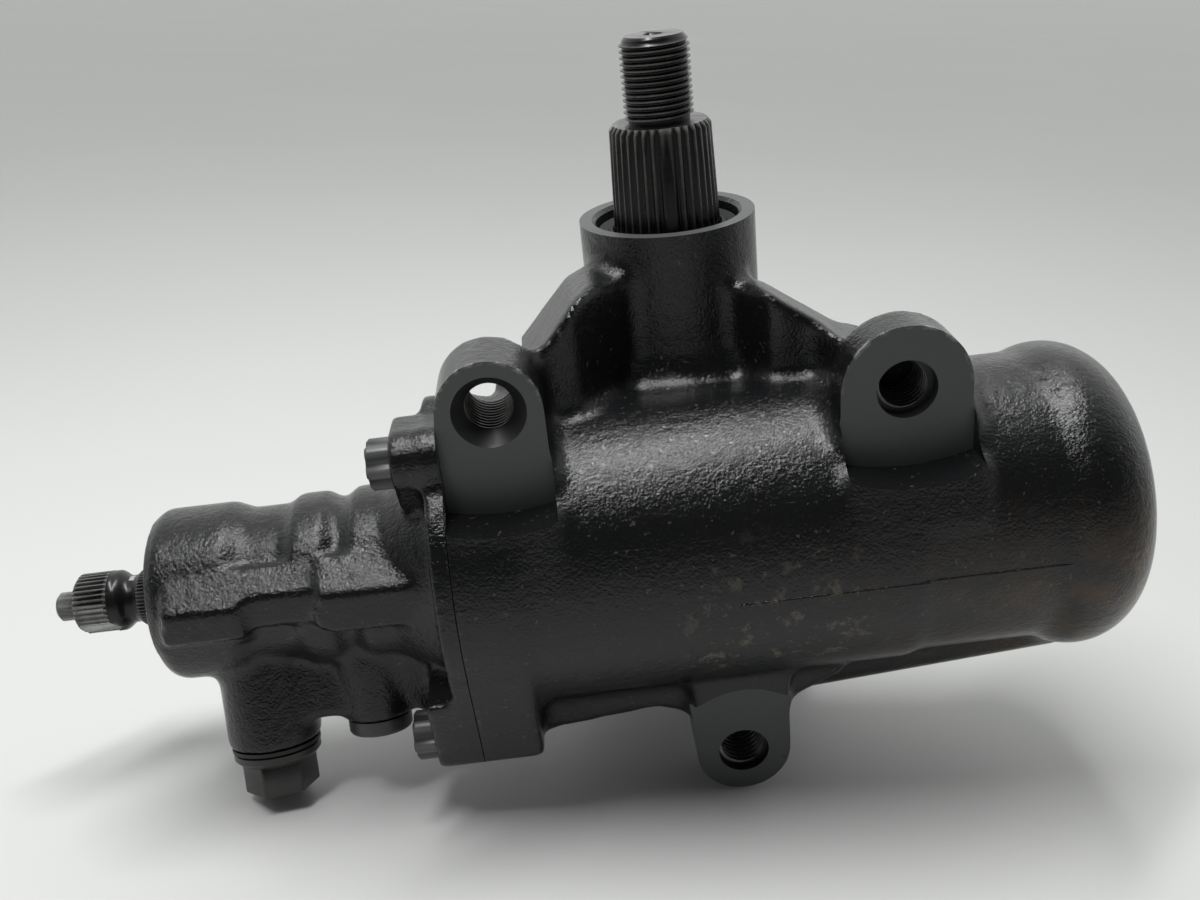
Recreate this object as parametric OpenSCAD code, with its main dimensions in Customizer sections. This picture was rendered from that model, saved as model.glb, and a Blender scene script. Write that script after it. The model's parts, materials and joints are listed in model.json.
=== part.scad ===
// Integral power steering gear of the recirculating-ball kind.
// The input shaft turns a worm, the worm moves a rack piston on a train of balls,
// and the rack turns the sector shaft that carries the pitman arm.
// The worm axis runs along X, the sector shaft along Z, and the mounting pads face -Y.

/* [Cylinder] */
// Radius of the piston bore
bore_r = 37.5; // [36.5:0.25:39]
// Wall of the cylinder round the bore
cylinder_wall = 9; // [8:0.5:11]
// Joint face of the gear housing, left of the sector axis
joint_x = 77; // [76:0.5:82]
// Outside of the closed end, right of the sector axis
closed_end_x = 131; // [126:1:140]
// Thickness of the closed end
end_wall = 18; // [12:1:20]
// Fillet round the closed end
end_fillet = 19.5; // [10:0.5:22]
// How far the closed end swells past the cylinder
end_swell = 2.3; // [0.5:0.1:4]
// Length of the swollen closed end
end_length = 26; // [24:1:30]
// How far the waist between barrel and closed end draws in
waist_drop = 1.6; // [0.5:0.1:3]
// Start of the waist, right of the sector axis
waist_x = 58; // [50:1:70]

/* [Sector shaft] */
// Distance of the sector axis behind the worm axis
sector_y = 47; // [46.5:0.25:48.5]
// Radius of the pitman nut thread
thread_r = 11; // [9:0.25:12]
// Top of the shaft above the worm axis
shaft_top_z = 148; // [140:1:156]
// Top of the tapered serration above the worm axis
serration_top_z = 122; // [118:1:126]
// Serration radius at its top
serration_top_r = 16.1; // [15:0.1:16.6]
// Serration radius at its foot
serration_foot_r = 17.2; // [16.8:0.1:17.3]
// Number of serration teeth
serration_teeth = 36; // [24:1:48]
// Depth of the serration teeth
serration_depth = 1.2; // [0.6:0.1:1.6]
// Radius of the upper journal
journal_r = 17.4; // [17.35:0.05:18]
// Radius of the lower journal
lower_journal_r = 16; // [14:0.5:17]

/* [Gear mesh] */
// Module of the sector and rack teeth
gear_module = 5; // [4.9:0.02:5.1]
// Teeth that a full sector gear would have
full_teeth = 10; // [10:1:10]
// Pressure angle of the teeth
pressure_angle = 25; // [24:0.5:26]
// Play between the teeth along the pitch line
backlash = 0.3; // [0.2:0.05:0.5]
// Face width of the sector teeth
sector_face = 40; // [34:1:42]

/* [Tower] */
// Outside radius of the sector shaft tower
tower_r = 28.5; // [27.5:0.25:31]
// Top face of the tower above the worm axis
tower_top_z = 92.5; // [90:0.5:96]
// Radius of the seal bore in the tower
seal_bore_r = 23.2; // [22.6:0.1:24.5]
// Wall of the sector chamber behind the cylinder
chamber_wall = 8; // [6:0.5:10]

/* [Mounting pads] */
// Distance of the pad faces in front of the worm axis
pad_y = 25; // [23:0.5:27]
// Radius of the tapped mounting holes
pad_thread_r = 7; // [6:0.25:7.5]
// Left hole, distance left of the sector axis
left_hole_x = 61; // [60.5:0.25:61.5]
// Left hole, height above the worm axis
left_hole_z = 60.4; // [57:0.5:64]
// Left boss radius
left_boss_r = 15.5; // [14:0.25:16]
// Left boss depth behind its pad face
left_boss_depth = 23; // [20:1:28]
// Right hole, distance right of the sector axis
right_hole_x = 58; // [54:1:62]
// Right hole, height above the worm axis
right_hole_z = 52.7; // [50:0.5:56]
// Right boss radius
right_boss_r = 19.3; // [17:0.5:21]
// Right boss depth behind its pad face
right_boss_depth = 15; // [13:1:20]
// Lower hole, distance right of the sector axis
lower_hole_x = 5.3; // [0:1:10]
// Lower hole, depth below the worm axis
lower_hole_z = 69.4; // [66:0.5:72]
// Lower boss radius
lower_boss_r = 15.4; // [14:0.25:16.5]
// Lower boss depth behind its pad face
lower_boss_depth = 22; // [18:1:26]
// Height of the milled ledge under the upper pads
ledge_z = 28.5; // [26:0.5:32]
// Radius of the cutter that milled the ledges
ledge_cutter_r = 63; // [50:1:80]

/* [Valve housing] */
// Input end of the valve housing, left of the sector axis
valve_end_x = 170; // [168:1:178]
// Radius of the valve housing barrel
barrel_r = 27.2; // [26:0.2:29]
// Depth of the two necks turned in the barrel
neck_depth = 2.6; // [1:0.2:4]
// Thickness of the valve housing flange plate
flange_plate = 6; // [5:0.5:8]
// Thickness of the valve housing flange at its bolts
flange_ear = 14.3; // [12:0.1:18]
// Thickness of the gear housing flange
gear_flange = 18.5; // [16:0.5:22]
// Front upper flange bolt, distance in front of the worm axis
upper_bolt_y = 17.5; // [16:0.25:18]
// Front upper flange bolt, height above the worm axis
upper_bolt_z = 45.2; // [44.5:0.1:48]
// Front lower flange bolt, distance in front of the worm axis
lower_bolt_y = 29; // [27:0.5:32]
// Front lower flange bolt, depth below the worm axis
lower_bolt_z = 44.4; // [42:0.2:48]
// Rear upper flange bolt, distance behind the worm axis
rear_bolt_y = 43; // [42:0.5:46]
// Rear upper flange bolt, height above the worm axis
rear_bolt_z = 18; // [17:0.5:22]
// Radius of the flange ears round the bolts
flange_ear_r = 10; // [9.5:0.25:11.5]
// Radius of the flange and cover bolts
bolt_r = 5; // [4:0.5:5.5]
// Size of the bolt heads across flats
bolt_flats = 14; // [12:0.5:15]

/* [Ports] */
// Lean of both port axes towards the mounting pads, in degrees
port_lean = 18.5; // [14:0.5:22]
// Pressure port, distance from the input end of the valve housing
pressure_port_in = 24.5; // [23:0.5:26]
// Distance of the pressure port face from the worm axis
pressure_face = 51.5; // [49:0.5:56]
// Radius of the pressure port boss
pressure_boss_r = 14.8; // [14:0.1:16]
// Radius of the plug thread in the pressure port
pressure_thread_r = 8.2; // [7:0.2:9]
// Size of the pressure plug across flats
plug_flats = 20.5; // [18:0.5:22]
// Distance between the pressure port and the return port
port_spacing = 34.3; // [33:0.1:36]
// Distance of the return port face from the worm axis
return_face = 47; // [45:0.5:50]
// Radius of the plug thread in the return port
return_thread_r = 7.2; // [6:0.2:8]
// Radius of the return plug head
return_plug_r = 10.2; // [9.4:0.1:11.4]

/* [Input shaft] */
// Outer end of the torsion bar, left of the sector axis
input_tip_x = 207; // [204:1:214]
// Outer end of the input serration, left of the sector axis
input_serration_x = 200; // [198:1:202]
// Length of the input serration
input_serration_length = 10; // [8:0.5:12]
// Radius of the input serration
input_serration_r = 9.7; // [9:0.1:9.9]
// Radius of the neck behind the serration
input_neck_r = 7.5; // [7:0.1:8.4]
// Turn of the flat on the input serration towards the mounting pads, in degrees
input_flat_turn = 50; // [0:5:90]
// Radius of the torsion bar ends
torsion_end_r = 4.9; // [4.8:0.1:5.2]
// Radius of the bare tip of the torsion bar
torsion_tip_r = 4.6; // [3.8:0.1:4.7]
// Radius of the input shaft journal
input_journal_r = 10; // [9.9:0.1:10.6]
// Radius of the valve rotor on the input shaft
rotor_r = 13; // [12:0.25:14]
// Radius of the valve sleeve
sleeve_r = 20; // [18.5:0.25:20.5]

/* [Worm and piston] */
// Lead of the worm
worm_lead = 11; // [9:0.5:13]
// Radius of the recirculating balls
ball_r = 3; // [2.5:0.1:3.2]
// Radius of the circle that the balls run on
ball_circle_r = 11.05; // [10.8:0.05:11.4]
// Left end of the piston, left of the sector axis
piston_left_x = 47; // [44:0.5:48]
// Right end of the piston, right of the sector axis
piston_right_x = 80; // [74:1:84]
// Right end of the worm, right of the sector axis
worm_end_x = 50; // [44:1:54]
// Half length of the flat that carries the rack
rack_half = 38; // [37:0.5:40]

/* [Side cover] */
// Drop of the side cover joint below the cylinder
cover_drop = 0.5; // [0.5:0.25:4]
// Thickness of the side cover plate
cover_plate = 11; // [9:0.5:14]
// Radius of the side cover
cover_r = 45; // [43:0.5:47]
// Radius of the side cover bolt circle
cover_bolt_r = 40; // [39.5:0.25:41]
// Length of the adjuster screw below its locknut
adjuster_out = 14; // [11:1:20]
// Radius of the adjuster screw
adjuster_r = 5; // [4:0.25:6]

/* [Hidden] */
$fn = 64;
eps = 0.05;
// Running clearance of shafts in bearings and of the piston in its bore
run = 0.05;
// Seat clearance of rings and seals in their grooves
seat = 0.1;
// Gap between parts that pass each other without touching
pass = 0.7;
joint = -joint_x;
cylinder_r = bore_r + cylinder_wall;
end_r = cylinder_r + end_swell;
waist_r = cylinder_r - waist_drop;
cover_z = cylinder_r + cover_drop;
right_hole_depth = 20;
// Room round the end of the bolt behind the left boss, and how far it goes
bolt_room = 3;
bolt_room_depth = 20;
// Webs from the tower to the upper bosses: start below the tower top, stand-off and plan
web_slope = 5;
web_foot = 9;
left_web_drop = 9.5;
left_web_off = 6;
left_web_root = 38;
left_web_back = 14;
left_web_in = 18;
left_web_run = 13;
right_web_drop = 18;
right_web_off = 9.5;
right_web_root = 39;
right_web_back = 22;
right_web_in = 17;
right_web_run = 12;
// Lower web and oil gallery
lower_web_drop = 9.5;
lower_web_left = 27;
lower_web_right = 35;
gallery_r = 8.5;
gallery_lean = 4;
swell_start = closed_end_x - end_length;
bore_end = closed_end_x - end_wall;

// Gear mesh
pitch = PI * gear_module;
pitch_r = gear_module * full_teeth / 2;
base_r = pitch_r * cos(pressure_angle);
rack_addendum = 0.8 * gear_module;
rack_dedendum = 1.04 * gear_module;
sector_addendum = 0.9 * gear_module;
sector_dedendum = gear_module;
sector_tip_r = pitch_r + sector_addendum;
sector_root_r = pitch_r - sector_dedendum;
rack_pitch_y = sector_y - pitch_r;
sector_half = sector_face / 2;

// Half height of the piston where a round piece on the sector axis comes nearest to it
function rack_corner(r) = sqrt(pow(bore_r, 2) - pow(sector_y - r, 2));

// Sector chamber and the stack of pieces along the sector shaft
chamber_r = sector_tip_r + 2.5;
chamber_outer_r = chamber_r + chamber_wall;
chamber_top = sector_half + 3;
bearing_wall = 4.6;
upper_bearing_r = journal_r + bearing_wall;
bearing_bottom = max(chamber_top + 3, rack_corner(upper_bearing_r) + pass);
seal_room = 28.5;
stack_gap = 1;
bearing_top = tower_top_z - seal_room;
washer_t = 2.5;
seal_t = 12;
snap_t = 1.8;
snap_gap = 8;
snap_bite = 1.3;
snap_side = 0.8;
dust_drop = 2;
serration_sink = 4.5;
washer_z = bearing_top + stack_gap;
seal_z = washer_z + washer_t;
snap_z = seal_z + seal_t + snap_side;
dust_z = snap_z + snap_t + snap_side / 2;
dust_top = tower_top_z - dust_drop;
serration_foot_z = tower_top_z - serration_sink;
undercut = 1.4;
undercut_length = 2.4;
thread_chamfer = 1.4;
centre_r = 3.2;
centre_depth = 4;
lip_t = 1.6;
lip_share = 0.6;
dust_groove = 2.5;

// Side cover stack below the worm axis
lower_bearing_r = lower_journal_r + bearing_wall;
cover_hub_r = lower_bearing_r + 4.4;
// The hub stops short of the corners of the rack, and so does the upper bearing
cover_hub_top = -rack_corner(cover_hub_r) - pass;
cover_bottom = -cover_z - cover_plate;
cover_boss_r = 17;
cover_boss_h = 8;
boss_bottom = cover_bottom - cover_boss_h;
spigot_h = 5;
shaft_bottom = -cover_z - 3;
screw_head_r = 8;
screw_head_t = 5;
screw_pocket_t = 7;
locknut_t = 8;
locknut_flats = 19;
adjuster_z = locknut_t + adjuster_out - boss_bottom;
cover_ear_r = 9;
cover_flange = 9;
cover_bolt_depth = 11;
lower_bearing_h = cover_hub_top - 1 + cover_z + 1;

// Valve housing and worm stack along the worm axis
valve_end = -valve_end_x;
barrel_chamfer = 1.5;
// Ends of the bands and necks along the barrel, from its input end
bands = [22, 28, 40, 44, 52, 56, 58, 62];
flange_cone = 22;
gusset_run = 30;
gusset_rise = 9;
gusset_back = 8;
channel_in = 4;
channel_z = 2;
channel_half = 6;
channel_out = 4.3;
spigot_len = 11;
spigot_r = bore_r - run;
spigot_end = joint + spigot_len;
bearing_in_x = joint - 5;
bearing_w = 12;
bearing_out_x = bearing_in_x + bearing_w;
worm_bearing_r = 28;
worm_bearing_in_r = 18.2;
worm_journal_r = 15;
bearing_ball_r = 3.9;
bearing_ball_circle = 21.25;
bearing_balls = 11;
lock_ring_in_r = 20.4;
shoulder_r = 19.6;
sleeve_in = 28;
sleeve_gap = 6;
sleeve_left = valve_end + sleeve_in;
sleeve_right = bearing_in_x - sleeve_gap;
sleeve_pin_r = 1.6;
sleeve_pin_x = sleeve_right - 2 * sleeve_pin_r;
rotor_short = 10;
rotor_gap = 2;
sleeve_pin_in = 4.5;
rotor_right = sleeve_right - rotor_short;
worm_collar_left = rotor_right + rotor_gap;
input_bearing_r = input_journal_r + 4;
input_seal_r = input_journal_r + 6;
input_bearing_w = 12;
input_bearing_x = sleeve_left - 2 - input_bearing_w;
input_seal_w = 8.5;
input_seal_x = input_bearing_x - 1 - input_seal_w;
input_serration_end = -input_serration_x + input_serration_length;
input_teeth = 36;
input_tooth_depth = 0.8;
input_flat_depth = 1.2;
input_shoulder = 3;
input_shoulder_r = input_serration_r - 0.2;
input_waist = 3;
input_collar_r = input_journal_r - 1;
rotor_slots = 6;
rotor_slot_r = 1.6;
rotor_land = 9;
bar_pin_x = -input_serration_x + 18;
bar_pin_r = 1.5;
bar_end_past_pin = 4;
tip_chamfer = 1;
tip_relief = 1;
tip_groove = 0.5;
ear_face = joint - flange_ear;
head_t = 7;
bolt_grip = 14;
nut_bore_r = ball_circle_r + ball_r + run;
worm_core_r = ball_circle_r - ball_r - 1;
worm_land_r = ball_circle_r - 0.6;
worm_groove_half = 42;
groove_r = ball_r + 0.3;
groove_points = 24;
groove_slices = 12;
worm_root_x = spigot_end + 1.4;
ball_pitch_angle = 36;
balls = 25;
pressure_port_x = valve_end_x - pressure_port_in;
return_port_x = pressure_port_x - port_spacing;
plug_washer_t = 1.2;
plug_collar_t = 3.6;
plug_hex_h = 11;
plug_turn = 15;
plug_depth = 12;
return_head_h = 5;
oil_drill_r = 3;

// Extent of the whole gear, which sets the origin at the middle of its foot
back_y = sector_y + max(cover_r, chamber_outer_r);
front_y = -end_r;
foot_z = -max(adjuster_z, lower_hole_z + lower_boss_r);
frame_shift = [(input_tip_x - closed_end_x) / 2, -(back_y + front_y) / 2, -foot_z];

// Placing helpers
module place() translate(frame_shift) children();

module on_sector() translate([0, sector_y, 0]) children();

module rod_x(x0, x1, r) translate([x0, 0, 0]) rotate([0, 90, 0]) cylinder(r = r, h = x1 - x0);

module cone_x(x0, x1, r0, r1) translate([x0, 0, 0]) rotate([0, 90, 0]) cylinder(r1 = r0, r2 = r1, h = x1 - x0);

module ring_x(x0, x1, r_in, r_out) {
    difference() {
        rod_x(x0, x1, r_out);
        rod_x(x0 - 1, x1 + 1, r_in);
    }
}

module rod_y(y0, y1, r) translate([0, y0, 0]) rotate([-90, 0, 0]) cylinder(r = r, h = y1 - y0);

module rod_z(z0, z1, r) translate([0, 0, z0]) cylinder(r = r, h = z1 - z0);

module ring_z(z0, z1, r_in, r_out) {
    difference() {
        rod_z(z0, z1, r_out);
        rod_z(z0 - 1, z1 + 1, r_in);
    }
}

module block(x0, x1, y0, y1, z0, z1) translate([x0, y0, z0]) cube([x1 - x0, y1 - y0, z1 - z0]);

// A flat side view in X and Z, given thickness along Y
module side_plate(y0, y1) translate([0, y1, 0]) rotate([90, 0, 0]) linear_extrude(y1 - y0) children();

module hexagon_x(x0, x1, flats) {
    translate([x0, 0, 0]) rotate([0, 90, 0]) cylinder(r = flats / sqrt(3), h = x1 - x0, $fn = 6);
}

module hexagon_z(z0, z1, flats) translate([0, 0, z0]) cylinder(r = flats / sqrt(3), h = z1 - z0, $fn = 6);

function wheel(teeth, r_root, r_tip) = [
    for (i = [0:teeth - 1])
        for (k = [0:3])
            let (a = (i + [0.1, 0.3, 0.7, 0.9][k]) * 360 / teeth, r = k == 1 || k == 2 ? r_tip : r_root)
            [r * cos(a), r * sin(a)]
];

// Where the flange bolts stand in Y and Z, and the bare lobe at the top of the flange
flange_bolts = [[-upper_bolt_y, upper_bolt_z], [-lower_bolt_y, -lower_bolt_z],
                [rear_bolt_y, rear_bolt_z], [rear_bolt_y - 5, -rear_bolt_z - 20]];
flange_lobe = [4, upper_bolt_z];

module at_flange_bolts() for (p = flange_bolts) translate([0, p.x, p.y]) children();

module at_cover_bolts() {
    on_sector() for (a = [45:90:315]) rotate([0, 0, a]) translate([cover_bolt_r, 0, 0]) children();
}

// Outline of the side cover joint, shared by the gear housing and the cover
module cover_outline() {
    circle(cover_r);
    for (a = [45:90:315]) rotate(a) translate([cover_bolt_r, 0]) circle(cover_ear_r);
}

// Outline of the flange joint, shared by both housings: a disc with an ear on an arm for each bolt
module flange_outline(x0, x1) {
    arm_half = flange_ear_r - 1;
    translate([x0, 0, 0]) rotate([90, 0, 90]) linear_extrude(x1 - x0) {
        circle(cylinder_r + 1.5);
        for (p = concat(flange_bolts, [flange_lobe])) {
            translate(p) circle(flange_ear_r);
            rotate(atan2(p.y, p.x)) translate([0, -arm_half]) square([norm(p), 2 * arm_half]);
        }
    }
}

// A boss with a round head and straight sides that run into the cylinder
module pad_boss(x, z, r, depth) {
    translate([x, 0, z]) rod_y(-pad_y, -pad_y + depth, r);
    block(x - r, x + r, -pad_y, -pad_y + depth, min(z, 0), max(z, 0));
}

// The milling cut that leaves a curved ledge under a pad
module ledge_cut(x, r) {
    intersection() {
        block(x - r, x + r, -2 * cylinder_r, -pad_y, ledge_z, 2 * cylinder_r);
        translate([x, 0, ledge_z + ledge_cutter_r]) rod_y(-2 * cylinder_r, 0, ledge_cutter_r);
    }
}

module cylinder_casting() {
    rotate([0, 90, 0]) rotate_extrude() {
        translate([0, joint]) square([cylinder_r, waist_x - joint]);
        polygon([[0, waist_x], [cylinder_r, waist_x], [waist_r, waist_x + 3], [waist_r, swell_start],
                 [end_r, closed_end_x - end_fillet], [0, closed_end_x - end_fillet]]);
        translate([0, closed_end_x - end_fillet - eps]) square([end_r - end_fillet, end_fillet + eps]);
        translate([end_r - end_fillet, closed_end_x - end_fillet]) circle(end_fillet);
    }
}

module tower_casting() {
    on_sector() {
        rod_z(0, tower_top_z, tower_r);
        rod_z(-cover_z + 2, chamber_top + chamber_wall, chamber_outer_r);
        translate([0, 0, chamber_top + chamber_wall - eps])
            cylinder(r1 = chamber_outer_r, r2 = tower_r, h = 24);
        translate([0, 0, -cover_z]) linear_extrude(cover_flange) cover_outline();
    }
    block(-chamber_outer_r + 1, chamber_outer_r - 1, 0, sector_y, -cover_z + 3, chamber_top + chamber_wall - 1);
    at_cover_bolts() rod_z(-cover_z + 1, -cover_z + cover_bolt_depth + 5, cover_ear_r - 0.5);
}

// A web between the tower and an upper boss: a side view in X and Z cut to a plan in X and Y
module tower_web(side_view, plan) {
    intersection() {
        side_plate(-pad_y, sector_y) polygon(side_view);
        linear_extrude(tower_top_z) polygon(plan);
    }
}

module tower_webs() {
    inner = tower_r / 2;
    left_back = sector_y - left_web_back;
    right_back = sector_y - right_web_back;
    left_top = tower_top_z - left_web_drop;
    right_top = tower_top_z - right_web_drop;
    tower_web([[-inner, left_top - web_slope], [-tower_r + 1, left_top],
               [-tower_r - left_web_off, left_top - web_slope / 2],
               [-left_hole_x + web_foot, left_hole_z + 0.6], [-left_hole_x, left_hole_z + 0.6 - web_foot],
               [-left_hole_x, 0], [-inner, 0]],
              [[-left_hole_x, -pad_y + left_web_in], [-left_hole_x + left_web_run, -pad_y + left_web_in + 1],
               [-tower_r - left_web_off, -1], [-tower_r + 2.5, sector_y - left_web_root],
               [-inner, left_back - web_foot], [-inner, left_back], [-left_hole_x, left_back]]);
    tower_web([[inner, right_top - 0.5], [tower_r - 3, right_top], [tower_r + 1, right_top - web_slope * 0.6],
               [right_hole_x - web_foot, right_hole_z + web_slope], [right_hole_x, right_hole_z + web_slope / 2],
               [right_hole_x, 0], [inner, 0]],
              [[inner, right_back - 2], [tower_r - 2.5, sector_y - right_web_root],
               [tower_r + right_web_off, sector_y - right_web_root],
               [right_hole_x - right_web_run, -pad_y + right_web_in + 6], [right_hole_x, -pad_y + right_web_in],
               [right_hole_x, right_back], [inner, right_back]]);
}

// The web under the cylinder that carries the lower boss, and the oil gallery to the closed end
module lower_web() {
    flange_side = joint + gear_flange - 1;
    boss_half = lower_boss_r - 3.4;
    web_bottom = -cylinder_r - lower_web_drop;
    side_plate(-pad_y + 3, -2) polygon([
        [flange_side, 0], [flange_side, web_bottom + 1], [lower_hole_x - lower_web_left, web_bottom + 5],
        [lower_hole_x - boss_half, web_bottom], [lower_hole_x + boss_half, web_bottom],
        [lower_hole_x + lower_web_right, -cylinder_r + 1.5], [lower_hole_x + lower_web_right, 0]]);
    translate([lower_hole_x + boss_half - 2, -6, web_bottom + 4]) rotate([0, -gallery_lean, 0])
        rod_x(0, swell_start - lower_hole_x, gallery_r);
}

module gear_housing_form() {
    cylinder_casting();
    flange_outline(joint, joint + gear_flange);
    tower_casting();
    tower_webs();
    lower_web();
    pad_boss(-left_hole_x, left_hole_z, left_boss_r, left_boss_depth);
    pad_boss(right_hole_x, right_hole_z, right_boss_r, right_boss_depth);
    translate([right_hole_x, 0, right_hole_z]) rod_y(-pad_y, -pad_y + right_hole_depth + 5, pad_thread_r + 5.5);
    pad_boss(lower_hole_x, -lower_hole_z, lower_boss_r, lower_boss_depth);
}

module gear_housing() {
    color("#1b1c1d") place() difference() {
        gear_housing_form();
        rod_x(joint - 1, bore_end, bore_r);
        on_sector() {
            rod_z(-cover_z - 1, chamber_top, chamber_r);
            rod_z(0, washer_z, upper_bearing_r + run);
            rod_z(washer_z - eps, tower_top_z + 1, seal_bore_r);
            rod_z(snap_z - seat, snap_z + snap_t + seat, seal_bore_r + snap_bite + 2 * seat);
        }
        ledge_cut(-left_hole_x, left_boss_r);
        ledge_cut(right_hole_x, right_boss_r);
        translate([-left_hole_x, 0, left_hole_z]) {
            rod_y(-pad_y - 1, -pad_y + left_boss_depth + 1, pad_thread_r);
            rod_y(-pad_y + left_boss_depth, -pad_y + left_boss_depth + bolt_room_depth, pad_thread_r + bolt_room);
            translate([0, -pad_y - eps, 0]) rotate([-90, 0, 0])
                cylinder(r1 = pad_thread_r + 3.1, r2 = pad_thread_r, h = 5);
        }
        translate([right_hole_x, 0, right_hole_z]) {
            rod_y(-pad_y - 1, -pad_y + right_hole_depth, pad_thread_r);
            rod_y(-pad_y - 1, -pad_y + 4, pad_thread_r + 1.9);
        }
        translate([lower_hole_x, 0, -lower_hole_z]) {
            rod_y(-pad_y - 1, -pad_y + lower_boss_depth + 1, pad_thread_r);
            rod_y(-pad_y - 1, -pad_y + 3, pad_thread_r + 1.2);
        }
        at_flange_bolts() rod_x(joint - 1, joint + bolt_grip, bolt_r);
        at_cover_bolts() rod_z(-cover_z - 1, -cover_z + cover_bolt_depth, bolt_r);
    }
}

module valve_barrel() {
    neck_r = barrel_r - neck_depth;
    rotate([0, 90, 0]) rotate_extrude() polygon([
        [0, valve_end], [barrel_r - barrel_chamfer, valve_end], [barrel_r, valve_end + barrel_chamfer],
        [barrel_r, valve_end + bands[0]], [neck_r, valve_end + bands[1]], [neck_r, valve_end + bands[2]],
        [barrel_r, valve_end + bands[3]], [barrel_r, valve_end + bands[4]], [neck_r, valve_end + bands[5]],
        [neck_r, valve_end + bands[6]], [barrel_r + 0.4, valve_end + bands[7]], [barrel_r + 0.4, joint - flange_cone],
        [cylinder_r - 8, joint - 1], [0, joint - 1]]);
}

// An oil channel that stands out of the front of the barrel, with a sloped upper side
module channel_rib(x0, x1, z, half, out) {
    front = -barrel_r - out;
    translate([x0, 0, 0]) rotate([90, 0, 90]) linear_extrude(x1 - x0)
        polygon([[front, z - half], [front, z + half / 3], [front + half / 2, z + half], [-sleeve_r, z + half],
                 [-sleeve_r, z - half]]);
}

// Stands the children on a port axis, with the way out of the port along -Z
module on_port(x) translate([-x, 0, 0]) rotate([-port_lean, 0, 0]) children();

// The two port bosses, the web between them and the gusset to the lower front ear
module valve_ports() {
    web_half = 9;
    web_depth = return_face - 3;
    on_port(pressure_port_x) rod_z(-pressure_face, 0, pressure_boss_r);
    on_port(return_port_x) {
        translate([0, 0, -return_face])
            cylinder(r1 = return_plug_r + 1, r2 = return_plug_r + 3.5, h = return_face - barrel_r);
        rod_z(-barrel_r - eps, 0, return_plug_r + 3.5);
        block(return_port_x - pressure_port_x, 0, -web_half, web_half, -web_depth, 0);
    }
    side_plate(-lower_bolt_y + bolt_flats / sqrt(3) + pass, -gusset_back) polygon([
        [ear_face - gusset_run, -barrel_r + gusset_rise], [ear_face, -lower_bolt_z - 3],
        [joint - 1, -lower_bolt_z - 3], [joint - 1, 0], [ear_face - gusset_run, 0]]);
}

module valve_housing_form() {
    valve_barrel();
    flange_outline(joint - flange_plate, joint);
    at_flange_bolts() rod_x(ear_face, joint - 1, flange_ear_r - 0.4);
    channel_rib(valve_end + channel_in, valve_end + bands[1], channel_z, channel_half, channel_out);
    channel_rib(valve_end + bands[1] - 2, valve_end + bands[4], channel_z + 4, channel_half - 1, channel_out / 3);
    channel_rib(valve_end + bands[4] - 2, joint - 2, channel_z + 2, channel_half, channel_out);
    valve_ports();
    rod_x(joint - 1, spigot_end, spigot_r);
}

module valve_housing() {
    color("#1d1e1f") place() difference() {
        valve_housing_form();
        rod_x(valve_end - 1, input_bearing_x - 0.5, input_seal_r);
        rod_x(valve_end + 0.6, valve_end + 2.6, input_seal_r + 1.2);
        rod_x(input_bearing_x - 1, sleeve_left, input_bearing_r);
        rod_x(sleeve_left - 1, bearing_in_x + 1, sleeve_r + run);
        rod_x(bearing_in_x, spigot_end + 1, worm_bearing_r);
        ring_x(joint + 3, joint + 6, spigot_r - 3, spigot_r + 1);
        at_flange_bolts() rod_x(ear_face - 1, joint + 1, bolt_r + 0.5);
        on_port(pressure_port_x) {
            rod_z(-pressure_face - 1, -pressure_face + plug_depth + 3, pressure_thread_r);
            rod_z(-pressure_face, 0, oil_drill_r);
        }
        on_port(return_port_x) {
            rod_z(-return_face - 1, -return_face + plug_depth + 3, return_thread_r);
            rod_z(-return_face, 0, oil_drill_r);
        }
    }
}

module flange_bolt() {
    rod_x(ear_face - eps, joint + bolt_grip - 1.5, bolt_r - eps);
    hexagon_x(ear_face - head_t, ear_face, bolt_flats);
}

module valve_housing_bolts() color("#232425") place() at_flange_bolts() flange_bolt();

module valve_housing_seal() {
    color("#101010") place() translate([joint + 4.5, 0, 0]) rotate([0, 90, 0])
        rotate_extrude() translate([spigot_r - 1.5, 0]) circle(1.4);
}

module side_cover() {
    color("#1c1d1e") place() difference() {
        union() {
            on_sector() {
                translate([0, 0, cover_bottom]) linear_extrude(cover_plate) cover_outline();
                rod_z(-cover_z - eps, -cover_z + spigot_h, chamber_r - run);
                rod_z(-cover_z, cover_hub_top, cover_hub_r);
                translate([0, 0, boss_bottom])
                    cylinder(r1 = cover_boss_r, r2 = cover_boss_r + 6, h = cover_boss_h + eps);
            }
        }
        on_sector() {
            rod_z(shaft_bottom - 2, cover_hub_top + 1, lower_bearing_r);
            ring_z(-cover_z + 1.2, -cover_z + 3.8, chamber_r - 2.7, chamber_r + 1);
            rod_z(boss_bottom - 1, shaft_bottom, adjuster_r + eps);
        }
        at_cover_bolts() rod_z(cover_bottom - 1, -cover_z + 1, bolt_r + 0.5);
    }
}

module side_cover_bolts() {
    color("#252627") place() at_cover_bolts() {
        rod_z(cover_bottom - eps, -cover_z + cover_bolt_depth - 1, bolt_r - eps);
        hexagon_z(cover_bottom - head_t, cover_bottom, bolt_flats);
    }
}

module side_cover_seal() {
    color("#101010") place() on_sector() translate([0, 0, -cover_z + 2.5])
        rotate_extrude() translate([chamber_r - 1.35, 0]) circle(1.2);
}

module adjuster_screw() {
    color("#4a4b4c") place() on_sector() difference() {
        union() {
            rod_z(-adjuster_z, shaft_bottom + 2, adjuster_r);
            rod_z(shaft_bottom + 1.5, shaft_bottom + 1.5 + screw_head_t, screw_head_r);
        }
        translate([-adjuster_r - 1, -0.8, -adjuster_z - 1]) cube([2 * adjuster_r + 2, 1.6, 4]);
    }
}

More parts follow.
